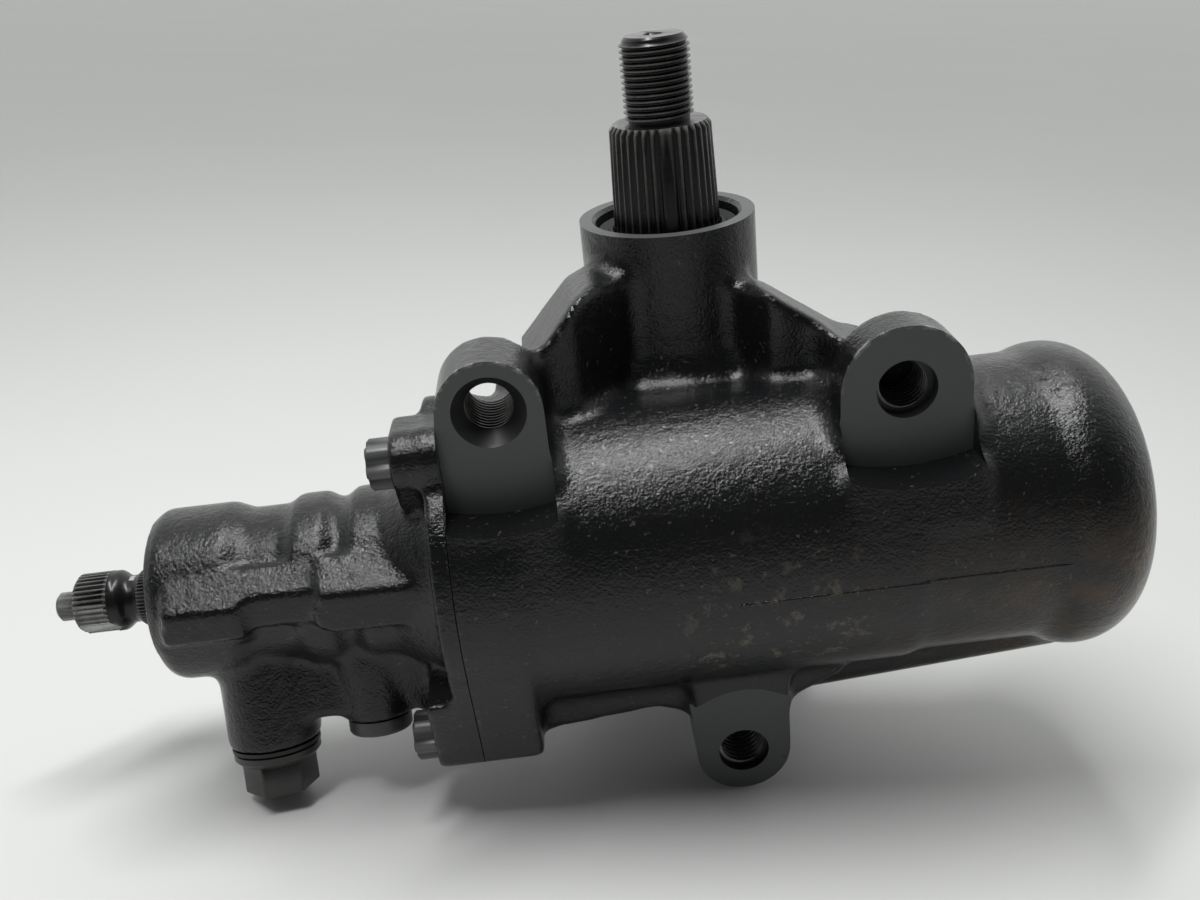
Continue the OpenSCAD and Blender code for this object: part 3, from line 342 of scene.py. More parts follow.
def blank_material(name):
    material = bpy.data.materials.new(name)
    material.use_nodes = True
    tree = material.node_tree
    return material, tree, tree.nodes["Principled BSDF"]


def add_node(tree, kind, sockets=None, **settings):
    made = tree.nodes.new("ShaderNode" + kind)
    for key, value in settings.items():
        setattr(made, key, value)
    for key, value in (sockets or {}).items():
        if isinstance(value, bpy.types.NodeSocket):
            tree.links.new(value, made.inputs[key])
        else:
            made.inputs[key].default_value = value
    return made


def coords(tree):
    return add_node(tree, "TexCoord").outputs["Object"]


def noise(tree, place, scale, detail=3.0, rough=0.6):
    return add_node(tree, "TexNoise", {"Vector": place, "Scale": scale, "Detail": detail,
                                       "Roughness": rough}).outputs["Fac"]


def ramp(tree, factor, low, high, start=0.0, end=1.0):
    """Maps a factor from low to high onto start to end."""
    return add_node(tree, "MapRange", {"Value": factor, "From Min": low, "From Max": high,
                                       "To Min": start, "To Max": end}).outputs["Result"]


def blend_colour(tree, factor, first, second):
    made = add_node(tree, "Mix", data_type="RGBA")
    for key, value in ((0, factor), (6, first), (7, second)):
        if isinstance(value, bpy.types.NodeSocket):
            tree.links.new(value, made.inputs[key])
        else:
            made.inputs[key].default_value = value if key == 0 else (*value, 1)
    return made.outputs[2]


def math_node(tree, operation, first, second):
    made = add_node(tree, "Math", {0: first, 1: second}, operation=operation)
    return made.outputs[0]


def times(tree, first, *others):
    """The product of several factors."""
    for other in others:
        first = math_node(tree, "MULTIPLY", first, other)
    return first


def wire(tree, shader, colour, rough, normal):
    """Links the three channels that every finish has."""
    for key, value in (("Base Color", colour), ("Roughness", rough), ("Normal", normal)):
        tree.links.new(value, shader.inputs[key])


def add_bump(tree, height, strength, distance, under=None):
    sockets = {"Height": height, "Strength": strength, "Distance": distance}
    if under is not None:
        sockets["Normal"] = under
    return add_node(tree, "Bump", sockets).outputs["Normal"]


def worn_edges(tree, low, high):
    """A factor that is high on the outer edges of a dense mesh."""
    return ramp(tree, add_node(tree, "NewGeometry").outputs["Pointiness"], low, high)


def axis_share(tree, place, axis, low, high):
    """A factor that rises from 0 to 1 between two levels along an axis of the gear."""
    parts = add_node(tree, "SeparateXYZ", {"Vector": place})
    return ramp(tree, parts.outputs[axis], low, high)


def near_level(tree, place, axis, level, half):
    """A factor that is 1 at a level along an axis and fades out on both sides of it."""
    parts = add_node(tree, "SeparateXYZ", {"Vector": place})
    away = math_node(tree, "ABSOLUTE", math_node(tree, "SUBTRACT", parts.outputs[axis], level), 0)
    return ramp(tree, away, half, 0)


def mould_seams(tree, place):
    """Where the halves of the mould met: along the front of the cylinder, and round its closed end."""
    sway = 1.6 * MM
    half = 0.9 * MM
    waves = add_node(tree, "TexNoise", {"Vector": place, "Scale": 160}).outputs["Color"]
    wavy = add_node(tree, "VectorMath", {0: place, 1: waves, 2: (sway, sway, sway)},
                    operation="MULTIPLY_ADD").outputs[0]
    level = near_level(tree, wavy, "Z", SEAM_Z + sway / 2, half)
    right = axis_share(tree, place, "X", WORM.x + 44 * MM, WORM.x + 60 * MM)
    split = ramp(tree, noise(tree, place, 90, 3, 0.6), 0.34, 0.5)
    round_end = near_level(tree, wavy, "X", WORM.x + 110.5 * MM + sway / 2, half)
    return math_node(tree, "MAXIMUM", times(tree, level, right, split), times(tree, round_end, 0.7))


def pad_rims(tree, place):
    """A factor that is 1 along the rounded rims of the two upper pads."""
    parts = add_node(tree, "SeparateXYZ", {"Vector": place})
    flat = add_node(tree, "CombineXYZ", {"X": parts.outputs["X"], "Z": parts.outputs["Z"]}).outputs[0]
    rims = []
    for name in UPPER_PADS:
        at = mount_at[name]
        reach = add_node(tree, "VectorMath", {0: flat, 1: (at.x, 0, at.z)}, operation="DISTANCE")
        off_rim = math_node(tree, "SUBTRACT", reach.outputs["Value"], PAD_HALF[name])
        near = ramp(tree, math_node(tree, "ABSOLUTE", off_rim, 0), 1.3 * MM, 0.3 * MM)
        rims.append(times(tree, near, axis_share(tree, place, "Z", at.z, at.z + 5 * MM)))
    return times(tree, math_node(tree, "MAXIMUM", *rims), near_level(tree, place, "Y", PAD_Y, 1.6 * MM))


def cast_paint():
    """Glossy black paint over a sand-cast skin, with rust at the closed end and rubbed edges."""
    material, tree, shader = blank_material("black_cast_paint")
    place = coords(tree)
    grain = noise(tree, place, 1100, 3, 0.6)
    dimples = noise(tree, place, 330, 2, 0.5)
    patches = noise(tree, place, 26, 4, 0.6)
    below = axis_share(tree, place, "Z", WORM.z + 24 * MM, WORM.z - 8 * MM)

    rust_spots = ramp(tree, noise(tree, place, 60, 6, 0.7), 0.42, 0.62)
    closed_end = axis_share(tree, place, "X", WORM.x + 20 * MM, WORM.x + 120 * MM)
    rust = times(tree, rust_spots, closed_end, below)
    flakes = ramp(tree, noise(tree, place, 130, 5, 0.7), 0.48, 0.6)
    end_rim = axis_share(tree, place, "X", WORM.x + 110 * MM, WORM.x + 124 * MM)
    end_rust = times(tree, flakes, end_rim, below)
    stains = ramp(tree, noise(tree, place, 150, 5, 0.7), 0.55, 0.63)
    past_flange = axis_share(tree, place, "X", WORM.x - 16 * MM, WORM.x - 6 * MM)
    before_end = axis_share(tree, place, "X", WORM.x + 50 * MM, WORM.x + 36 * MM)
    above_boss = axis_share(tree, place, "Z", WORM.z - 30 * MM, WORM.z - 22 * MM)
    tan = times(tree, stains, past_flange, before_end, below, above_boss)
    specks = ramp(tree, noise(tree, place, 560, 2, 0.5), 0.67, 0.73)

    flecks = ramp(tree, noise(tree, place, 520, 3, 0.6), 0.46, 0.6)
    upper = axis_share(tree, place, "Z", WORM.z + 44 * MM, WORM.z + 56 * MM)
    rubbed = times(tree, worn_edges(tree, 0.585, 0.66), flecks, upper)
    chips = ramp(tree, noise(tree, place, 420, 4, 0.65), 0.5, 0.6)
    rim_chips = times(tree, pad_rims(tree, place), chips)
    chipped = math_node(tree, "MAXIMUM", times(tree, rubbed, 0.75), times(tree, rim_chips, 0.8))
    seam_ridge_and_highlight = mould_seams(tree, place)

    colour = blend_colour(tree, patches, (0.004, 0.0043, 0.0048), (0.009, 0.0093, 0.0098))
    # Along the mould seams the colour is lifted to a light brown: a painted highlight for the lit edge of the
    # flash ridge, drawn over the seam's real bump
    for factor, share, over in ((rust, 0.9, (0.060, 0.034, 0.018)), (end_rust, 0.7, (0.20, 0.105, 0.055)),
                                (tan, 0.6, (0.14, 0.115, 0.085)), (specks, 0.3, (0.16, 0.12, 0.085)),
                                (chipped, 1, BARE_CHIP), (seam_ridge_and_highlight, 0.5, (0.03, 0.027, 0.022))):
        colour = blend_colour(tree, times(tree, factor, share), colour, over)
    shader.inputs["Specular IOR Level"].default_value = 0.4
    rolling = add_bump(tree, dimples, 0.5, 0.5 * MM)
    lined = add_bump(tree, seam_ridge_and_highlight, 1.0, 1.1 * MM, rolling)
    wire(tree, shader, colour, ramp(tree, patches, 0.3, 0.7, 0.09, 0.17),
         add_bump(tree, grain, 1.0, 0.27 * MM, lined))
    return material


def milled_paint():
    """Thin black paint on a milled face, smooth and satin, with a few scuffs."""
    material, tree, shader = blank_material("black_milled_paint")
    place = coords(tree)
    patches = noise(tree, place, 60, 4, 0.6)
    scuffs = ramp(tree, noise(tree, place, 260, 4, 0.65), 0.66, 0.76)
    chips = ramp(tree, noise(tree, place, 420, 4, 0.65), 0.48, 0.6)
    paint = blend_colour(tree, patches, (0.050, 0.053, 0.055), (0.064, 0.067, 0.069))
    scuffed = blend_colour(tree, times(tree, scuffs, 0.8), paint, (0.012, 0.012, 0.012))
    chipped = blend_colour(tree, times(tree, pad_rims(tree, place), chips, 0.7), scuffed, BARE_CHIP)
    wire(tree, shader, chipped, ramp(tree, patches, 0.3, 0.7, 0.42, 0.52),
         add_bump(tree, noise(tree, place, 1500, 2, 0.5), 0.12, 0.05 * MM))
    return material


def dark_metal(name, low, high, rough, metallic, grain_scale, wear=(0.2, 0.2, 0.2)):
    """Dark metal with uneven colour, fine grain and rubbed edges."""
    material, tree, shader = blank_material(name)
    place = coords(tree)
    patches = noise(tree, place, 120, 4, 0.6)
    colour = blend_colour(tree, patches, low, high)
    worn = blend_colour(tree, times(tree, worn_edges(tree, 0.54, 0.62), 0.6), colour, wear)
    shader.inputs["Metallic"].default_value = metallic
    wire(tree, shader, worn, ramp(tree, patches, 0.3, 0.7, *rough),
         add_bump(tree, noise(tree, place, grain_scale, 2, 0.5), 0.25, 0.06 * MM))
    return material


def crested_metal(name, low, high, crest, reach):
    """A dark oily finish with bare crests on teeth and threads."""
    material, tree, shader = blank_material(name)
    place = coords(tree)
    patches = noise(tree, place, 160, 4, 0.6)
    finish = blend_colour(tree, patches, low, high)
    rubbed = times(tree, worn_edges(tree, *reach), ramp(tree, patches, 0.3, 0.6, 0.5, 1.0))
    shader.inputs["Specular IOR Level"].default_value = 0.36
    wire(tree, shader, blend_colour(tree, rubbed, finish, crest), ramp(tree, patches, 0.3, 0.7, 0.2, 0.34),
         add_bump(tree, noise(tree, place, 1300, 2, 0.5), 0.3, 0.06 * MM))
    return material


def soft_black(name, low, high, rough):
    """An even black with a fine dull grain, for seals and for paint in hole mouths."""
    material, tree, shader = blank_material(name)
    place = coords(tree)
    patches = noise(tree, place, 180, 3, 0.6)
    wire(tree, shader, blend_colour(tree, patches, low, high), ramp(tree, patches, 0.3, 0.7, *rough),
         add_bump(tree, noise(tree, place, 1800, 2, 0.5), 0.2, 0.04 * MM))
    return material


cast_black = cast_paint()
milled_black = milled_paint()
fastener_black = dark_metal("black_fastener_paint", (0.014, 0.0145, 0.015), (0.03, 0.031, 0.032),
                            (0.34, 0.46), 0.0, 900)
plug_black = dark_metal("black_plug_paint", (0.010, 0.0105, 0.011), (0.022, 0.023, 0.024),
                        (0.26, 0.38), 0.0, 900, (0.05, 0.048, 0.03))
oiled_steel = dark_metal("dark_oiled_steel", (0.07, 0.07, 0.072), (0.16, 0.158, 0.155),
                         (0.24, 0.36), 0.85, 1400, (0.45, 0.44, 0.43))
ground_steel = dark_metal("ground_steel", (0.34, 0.34, 0.35), (0.5, 0.5, 0.51), (0.2, 0.32), 1.0, 1600,
                          (0.6, 0.6, 0.6))
tapped_steel = crested_metal("bare_tapped_steel", (0.012, 0.012, 0.012), (0.05, 0.049, 0.047),
                             (0.7, 0.69, 0.66), (0.52, 0.58))
shaft_black = crested_metal("oily_black_shaft", (0.002, 0.002, 0.0022), (0.008, 0.0078, 0.0075),
                            (0.24, 0.236, 0.225), (0.52, 0.62))
seal_rubber = soft_black("moulded_seal_rubber", (0.005, 0.005, 0.0055), (0.012, 0.012, 0.0125), (0.5, 0.66))
mouth_black = soft_black("black_mouth_paint", (0.006, 0.0062, 0.0064), (0.015, 0.0154, 0.0156), (0.42, 0.54))
brown_ptfe = dark_metal("filled_ptfe_brown", (0.14, 0.09, 0.05), (0.22, 0.15, 0.09), (0.5, 0.62), 0.0, 1500,
                        (0.25, 0.18, 0.11))
SLOT_LOOK = {"black_casting": cast_black, "black_fastener": fastener_black, "oiled_steel": oiled_steel,
             "machined_steel": ground_steel, "seal_rubber": seal_rubber, "filled_ptfe": brown_ptfe}
NODE_LOOK = {"torsion_bar": shaft_black, "pressure_plug_washer": mouth_black}


def dress_nodes():
    """Puts the scene's materials on the nodes that stay."""
    for name, obj in nodes.items():
        for place in obj.material_slots:
            base = place.material.name.split(".")[0]
            place.material = NODE_LOOK.get(name, SLOT_LOOK.get(base, oiled_steel))


# Castings

def pad_holes():
    """The name and place of each tapped mounting hole."""
    return [(name, mount_at[name]) for name in PAD_HALF]


def flange_bolts():
    """Where the axes of the flange bolts cross the joint."""
    middles = [(low + high) / 2 for low, high in solids_of("valve_housing_bolts")]
    return [Vector((JOINT_X, middle.y, middle.z)) for middle in middles]


def cover_bolts():
    """Where the axes of the cover bolts cross the cover's face."""
    middles = [(low + high) / 2 for low, high in solids_of("side_cover_bolts")]
    return [Vector((middle.x, middle.y, COVER_Z)) for middle in middles]


def pad_cutter(bm, name):
    """The milling cut in front of a pad: straight sides and, on the upper pads, a round foot."""
    at = mount_at[name]
    front = PAD_Y - 60 * MM
    if name == "lower_mounting_hole":
        centre = Vector((at.x, 0, at.z + 4 * MM))
        add_rod(bm, centre + Y * front, centre + Y * PAD_Y, 24 * MM, segments=48)
        return
    centre = Vector((at.x, 0, LEDGE_Z + LEDGE_CUTTER_R))
    add_rod(bm, centre + Y * front, centre + Y * PAD_Y, LEDGE_CUTTER_R, segments=192)
    for side in (X, -X):
        trim(bm, side, at.dot(side) + PAD_HALF[name] + 0.4 * MM)


def countersink(bm, name):
    """The open mouth of a hole: a cone on the left pad, a plain step on the others."""
    at = mount_at[name]
    mouth = Vector((at.x, PAD_Y, at.z))
    depth, rim, foot = HOLE_MOUTH[name]
    minor = HOLE_THREAD["minor"]
    add_rod(bm, mouth - Y * MM, mouth + Y * depth, minor + rim, minor + foot)


def tapped_hole(bm, name):
    """The thread of a hole, from just inside its mouth to its bottom."""
    at = mount_at[name]
    start = HOLE_MOUTH[name][0] - THREAD_LAP
    mouth = Vector((at.x, PAD_Y + start, at.z))
    add_thread(bm, mouth, Y, HOLE_BOTTOM[name] - start, **HOLE_THREAD)


def wrench_room(bm):
    """The clear way behind the left boss, for the end of its bolt."""
    at = mount_at["left_mounting_hole"]
    back = Vector((at.x, PAD_Y + HOLE_BOTTOM["left_mounting_hole"], at.z))
    add_rod(bm, back - Y * 0.5 * MM, back + Y * 40 * MM, HOLE_THREAD["major"] + 2 * MM)


def tower_bore(bm):
    """The bore round the sector shaft, from the cover up: chamber, bearing seat, seal seat and rim."""
    seal_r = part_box("sector_dust_seal")[1].x - SECTOR.x + 0.1 * MM
    bearing_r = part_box("sector_upper_bearing")[1].x - SECTOR.x
    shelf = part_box("sector_seal_washer")[0].z
    chamber_top = WORM.z + 23 * MM
    chamber_r = 32 * MM
    bottom = COVER_Z - 10 * MM
    top = TOWER_TOP + 10 * MM
    profile = [(0, bottom), (chamber_r, bottom), (chamber_r, chamber_top), (bearing_r, chamber_top),
               (bearing_r, shelf), (seal_r, shelf), (seal_r, TOWER_TOP - 1.2 * MM),
               (seal_r + 1.2 * MM, TOWER_TOP), (seal_r + 1.2 * MM, top), (0, top)]
    add_spun(bm, [(r, h - SECTOR.z) for r, h in profile], SECTOR, Z)


def piston_bore(bm):
    """The bore of the power cylinder, blind at the closed end."""
    bore_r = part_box("rack_piston")[1].z - WORM.z + 0.05 * MM
    start = Vector((JOINT_X - 10 * MM, WORM.y, WORM.z))
    end = Vector((WORM.x + 113 * MM, WORM.y, WORM.z))
    add_rod(bm, start, end, bore_r, segments=128)


def paint_flats(bm, flats):
    """Gives the flat machined faces of a casting their own paint."""
    bm.normal_update()
    for face in bm.faces:
        middle = face.calc_center_median()
        for axis, level in flats:
            if face.normal.dot(axis) > 0.995 and abs(middle.dot(axis) - level) < 0.1 * MM:
                face.material_index = 1


def finish_holes(bm):
    """The mouths of the tapped holes are painted smooth, and their threads stay bare steel."""
    widest = 12 * MM
    for face in bm.faces:
        middle = face.calc_center_median()
        for name, at in pad_holes():
            off = Vector((middle.x - at.x, middle.z - at.z)).length
            deep = middle.y - PAD_Y
            mouth_end = HOLE_MOUTH[name][0]
            if off < HOLE_THREAD["major"] + 0.05 * MM and mouth_end < deep < THREAD_SHOWN:
                face.material_index = 2
            elif off < widest and 0.02 * MM < deep <= mouth_end:
                face.material_index = 3


def add_flange_forms(bm, wall_x, ear_x, end_x):
    """The front wall of the joint flange, the bridge behind its upper ear and the foot round the lower."""
    lower_ear = [(-39.5, -44), (-38.6, -50), (-34, -54.2), (-24, -54.2), (-19, -46)]
    wall = [(-25, 20), (-40, 24), (-45.5, 14), (-47.6, 0), (-46, -16), *lower_ear, (-25, -20)]
    bridge = [(-20, 30), (-26.8, 43), (-24.5, 51.5), (-17.5, 54.6), (-5, 54.2), (4, 49), (6, 30)]
    foot = [(-44, -24), *lower_ear, (-25, -24)]
    for section, start_x in ((wall, wall_x), (bridge, ear_x), (foot, ear_x)):
        join(bm, cutter(add_prism, section, start_x, end_x))


def add_pad_lands(bm):
    """The cast lands in front of the upper pads, which the mill leaves as ledges."""
    section = [(-30, 33.5), (-38.6, 33.5), (-40, 28), (-43.8, 16), (-38, 8), (-30, 8)]
    for name in UPPER_PADS:
        x, half = mount_at[name].x, PAD_HALF[name]
        join(bm, cutter(add_prism, section, x - half, x + half))


def seam_flash():
    """The thin flash that the mould left along the front of the cylinder."""
    rods = []
    for x_start, x_end, r in ((4 * MM, 59 * MM, 46.2 * MM), (59 * MM, 108 * MM, 45.4 * MM)):
        at = Vector((WORM.x, WORM.y - r, SEAM_Z))
        rods.append(cutter(add_rod, at + X * x_start, at + X * x_end, 0.6 * MM, segments=12))
    return rods


def fill_housing_bores(bm):
    """Fills the bores and holes, so that the skin stays closed until they are cut again."""
    on_joint = Vector((JOINT_X, WORM.y, WORM.z))
    add_rod(bm, on_joint - X * FILL_OUT, on_joint + X * 12 * MM, 40 * MM)
    on_tower = Vector((SECTOR.x, SECTOR.y, TOWER_TOP))
    add_rod(bm, on_tower - Z * 12 * MM, on_tower + Z * FILL_OUT, 25 * MM)
    on_cover = Vector((SECTOR.x, SECTOR.y, COVER_Z))
    add_rod(bm, on_cover - Z * FILL_OUT, on_cover + Z * 8 * MM, 34 * MM)
    for name, at in pad_holes():
        mouth = Vector((at.x, PAD_Y, at.z))
        add_rod(bm, mouth - Y * FILL_OUT, mouth + Y * min(HOLE_BOTTOM[name], THREAD_SHOWN), 11 * MM)
    for at in flange_bolts():
        add_rod(bm, at - X * FILL_OUT, at + X * 15 * MM, BOLT_FILL_R)
    for at in cover_bolts():
        add_rod(bm, at - Z * FILL_OUT, at + Z * 12 * MM, BOLT_FILL_R)


def gear_housing_casting():
    """The main casting: cast skin first, then its machined faces, bores and tapped holes."""
    flats = [(-Y, -PAD_Y), (Z, TOWER_TOP), (-X, -JOINT_X), (-Z, -COVER_Z)]
    bm = cad_copy("gear_housing")
    for axis, level in flats:
        raise_face(bm, axis, level, MACHINING_STOCK)
    fill_housing_bores(bm)
    joint_face = JOINT_X - MACHINING_STOCK
    add_flange_forms(bm, joint_face, joint_face, JOINT_X + 18.5 * MM)
    add_pad_lands(bm)
    waist_at = Vector((WORM.x + 59 * MM, WORM.y, WORM.z + 0.9 * MM))
    add_rod(bm, waist_at, waist_at + X * 50 * MM, 45.6 * MM, segments=128)
    skin = fused(cast_skin(bm, 1.4 * MM, 3 * MM, 4), seam_flash())
    trim(skin, Z, TOWER_TOP)
    trim(skin, -X, -JOINT_X)
    on_cover = Vector((SECTOR.x, SECTOR.y, COVER_Z))
    spot_depth = 9 * MM
    cutters = [cutter(piston_bore), cutter(tower_bore), cutter(wrench_room),
               cutter(add_rod, on_cover - Z * spot_depth, on_cover, 46.5 * MM)]
    for at in cover_bolts():
        cutters.append(cutter(add_rod, at - Z * spot_depth, at, 10.5 * MM))
    for name, _ in pad_holes():
        cutters += [cutter(pad_cutter, name), cutter(countersink, name), cutter(tapped_hole, name)]
    done = machined(skin, cutters)
    paint_flats(done, flats)
    finish_holes(done)
    piece("gear_housing_casting", done, "housing",
          [cast_black, milled_black, tapped_steel, mouth_black], ["gear_housing"])


def port_at(node):
    """Where the axis of a plug's port meets the worm axis."""
    low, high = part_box(node)
    return Vector(((low.x + high.x) / 2, WORM.y, WORM.z))


def channel_bar(x_start, x_end, front, edge, foot):
    """A length of the oil channel, in mm: an upright front and a shelf that slopes up to the barrel."""
    back = 20
    slope = math.tan(math.radians(35))
    section = [(-front, foot), (-front, edge), (-back, edge + (front - back) * slope), (-back, foot)]
    bm = cutter(add_prism, section, INPUT_END + x_start * MM, INPUT_END + x_end * MM)
    rims = [e for e in bm.edges if all(abs(v.co.y - WORM.y + front * MM) < MERGE for v in e.verts)]
    bmesh.ops.bevel(bm, geom=rims, offset=1.3 * MM, segments=4, profile=0.5, affect="EDGES", material=-1)
    return bm


def channel_bars():
    """The outer bar, the set-back bar and the inner bar of the channel."""
    proud, set_back = 31.6, 28.9
    return [channel_bar(5, 28.5, proud, 10, -0.5), channel_bar(27, 53, set_back, 11.8, 2),
            channel_bar(51.5, 90, proud, 11, -0.5)]


def under_channel(bm):
    """The room below the channel's bars, where the barrel stays round."""
    outside, barrel, top, bottom = -40, -BARREL_R / MM, -0.6, -8
    add_prism(bm, [(outside, top), (outside, bottom), (barrel, bottom), (barrel, top)],
              INPUT_END + 2 * MM, INPUT_END + 53 * MM)


def fill_valve_bores(bm):
    """Fills the bore, the ports and the bolt holes, which plugs and bolts cover."""
    on_joint = Vector((JOINT_X, WORM.y, WORM.z))
    add_rod(bm, on_joint - X * 5 * MM, on_joint + X * 14 * MM, 36 * MM)
    for node, face, r in (("pressure_plug", 51.5 * MM, 9.5 * MM), ("return_plug", RETURN_FACE, 8.5 * MM)):
        axis_at = port_at(node)
        add_rod(bm, axis_at + PORT_OUT * (face - 16 * MM), axis_at + PORT_OUT * face, r)
    for at in flange_bolts():
        add_rod(bm, at - X * EAR_T, at + X * 6 * MM, BOLT_FILL_R)


def valve_housing_casting():
    """The casting at the input end, with the oil channel, both ports and the joint flange."""
    bm = machined(cad_copy("valve_housing"), [cutter(under_channel)])
    raise_face(bm, X, JOINT_X, MACHINING_STOCK)
    on_end = Vector((INPUT_END, WORM.y, WORM.z))
    add_rod(bm, on_end - X * END_LAND, on_end + X * 10 * MM, BARREL_R - 1.5 * MM)
    fill_valve_bores(bm)
    for bar in channel_bars():
        join(bm, bar)
    add_flange_forms(bm, JOINT_X - 6 * MM, JOINT_X - EAR_T, JOINT_X + MACHINING_STOCK)
    skin = cast_skin(bm, 0.9 * MM, 1.8 * MM, 3)
    for _ in range(8):
        ports = [v for v in skin.verts if v.co.z < WORM.z - 6 * MM and v.co.x < JOINT_X - 16 * MM]
        bmesh.ops.smooth_vert(skin, verts=ports, factor=0.5,
                              use_axis_x=True, use_axis_y=True, use_axis_z=True)
    joint_face = JOINT_X - JOINT_LINE
    trim(skin, X, joint_face)
    seal_r = 16 * MM
    done = machined(skin, [cutter(add_rod, on_end - X * 10 * MM, on_end + X * 19 * MM, seal_r)])
    paint_flats(done, [(X, joint_face)])
    piece("valve_housing_casting", done, "housing", [cast_black, milled_black],
          ["valve_housing"])


def side_cover_casting():
    """The cover below the sector shaft."""
    bm = cad_copy("side_cover")
    raise_face(bm, Z, COVER_Z, MACHINING_STOCK)
    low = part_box("side_cover")[0].z
    on_axis = Vector((SECTOR.x, SECTOR.y, 0))
    add_rod(bm, on_axis + Z * (COVER_Z - 6 * MM), on_axis + Z * (COVER_Z + 40 * MM), 30 * MM)
    add_rod(bm, on_axis + Z * low, on_axis + Z * (low + 12 * MM), 7 * MM)
    for at in cover_bolts():
        add_rod(bm, at - Z * 11 * MM, at + Z * 4 * MM, BOLT_FILL_R)
    skin = cast_skin(bm, 1.3 * MM, 3 * MM, 5)
    trim(skin, Z, COVER_Z)
    paint_flats(skin, [(Z, COVER_Z)])
    piece("side_cover_casting", skin, "housing", [cast_black, milled_black], ["side_cover"])


# Shafts

def sector_shaft_turned():
    """The sector shaft with its serration, the nut thread and a centre hole."""
    foot_z = TOWER_TOP - 5 * MM
    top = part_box("sector_shaft")[1].z
    serration_top = WORM.z + 122 * MM
    thread_foot = serration_top + 1.6 * MM
    thread_r = mount_r["pitman_nut_thread"]
    body = cad_copy("sector_shaft")
    trim(body, Z, foot_z)
    on_axis = Vector((SECTOR.x, SECTOR.y, 0))
    levels = [(foot_z - MM, 17.25 * MM, 1), (serration_top - 1.7 * MM, 16.15 * MM, 1),
              (serration_top, 14.9 * MM, 0.15)]
    teeth = cutter(add_serration, on_axis, Z, levels, 36, 1.25 * MM, 4)
    neck = cutter(add_rod, on_axis + Z * (serration_top - MM), on_axis + Z * (thread_foot + MM), 9.7 * MM)
    screw = bmesh.new()
    nut_pitch = 1.814 * MM
    add_thread(screw, on_axis + Z * thread_foot, Z, top - thread_foot, thread_r - 1.1 * MM, thread_r,
               nut_pitch, 96)
    chamfer = 2.3 * MM
    for vert in screw.verts:
        out = vert.co - on_axis
        past = out.z - (top - chamfer)
        limit = thread_r - 0.85 * past
        out.z = 0
        if past > 0 and out.length > limit:
            out = out * (limit / out.length)
            vert.co.x, vert.co.y = on_axis.x + out.x, on_axis.y + out.y
    whole = fused(body, [teeth, neck, screw])
    tip = Vector((SECTOR.x, SECTOR.y, top))
    done = machined(whole, [cutter(add_rod, tip - Z * 4 * MM, tip + Z * 0.4 * MM, 0.6 * MM, 3.4 * MM)])
    for face in done.faces:
        if face.calc_center_median().z < foot_z - 1.5 * MM:
            face.material_index = 1
    piece("sector_shaft_turned", done, "sector", [shaft_black, ground_steel],
          ["sector_shaft"], 28)


def input_shaft_turned():
    """The stub shaft: serration with one flat, a waisted neck and a fine knurled collar."""
    end_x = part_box("input_shaft")[0].x
    at = Vector((end_x, WORM.y, WORM.z))
    inner_x = INPUT_END - 2 * MM
    body = cad_copy("input_shaft")
    trim(body, -X, -inner_x)
    crest = 9.7 * MM
    tooth_depth = 0.85 * MM
    levels = [(0, 8.2 * MM, 0.1), (1.3 * MM, crest, 1), (10 * MM, crest, 1), (11 * MM, crest, 0)]
    teeth = cutter(add_serration, at, X, levels, 36, tooth_depth)
    waist = [(0, 10 * MM)]
    waist += [(8.55 * MM + 1.05 * MM * math.cos(k * math.pi / 8), (13 + 4 * k / 8) * MM) for k in range(9)]
    waist += [(7.5 * MM, 18.4 * MM), (8.2 * MM, 20 * MM), (8.2 * MM, 28.5 * MM), (0, 28.5 * MM)]
    waist.insert(1, (crest - 0.1 * MM, 10 * MM))
    neck = cutter(add_spun, waist, at, X)
    collar = cutter(add_serration, at, X, [(20 * MM, 8.4 * MM, 0.3), (20.6 * MM, 8.9 * MM, 1),
                                           (28 * MM, 8.9 * MM, 1)], 48, 0.5 * MM)
    whole = fused(body, [teeth, neck, collar])
    flat_turn = math.radians(50)
    down = Vector((0, -math.sin(flat_turn), -math.cos(flat_turn)))
    on_flat = at + X * 6 * MM
    flat = cutter(add_rod, on_flat + down * 8.45 * MM, on_flat + down * 14 * MM, 9 * MM, segments=4)
    bar_r = 4.95 * MM
    bore = cutter(add_rod, at - X * MM, at + X * 40 * MM, bar_r)
    done = machined(whole, [flat, bore])
    piece("input_shaft_turned", done, "input", [shaft_black], ["input_shaft"], 28)


def sector_dust_lip():
    """The dust seal deep in the mouth of the tower, with a lip on the shaft."""
    low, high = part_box("sector_dust_seal")
    outer = high.x - SECTOR.x
    inner = 17.6 * MM
    top = TOWER_TOP - 3.6 * MM
    profile = [(inner, low.z), (outer, low.z), (outer, top - 0.6 * MM), (outer - 0.7 * MM, top),
               (inner + 2.6 * MM, top - 1.6 * MM), (inner + 1.4 * MM, top - 0.4 * MM),
               (inner + 0.3 * MM, top), (inner, top - 0.5 * MM), (inner, low.z)]
    bm = cutter(add_spun, [(r, h - SECTOR.z) for r, h in profile], SECTOR, Z)
    piece("sector_dust_lip", bm, "housing", [seal_rubber], ["sector_dust_seal"], 40)


# Fasteners

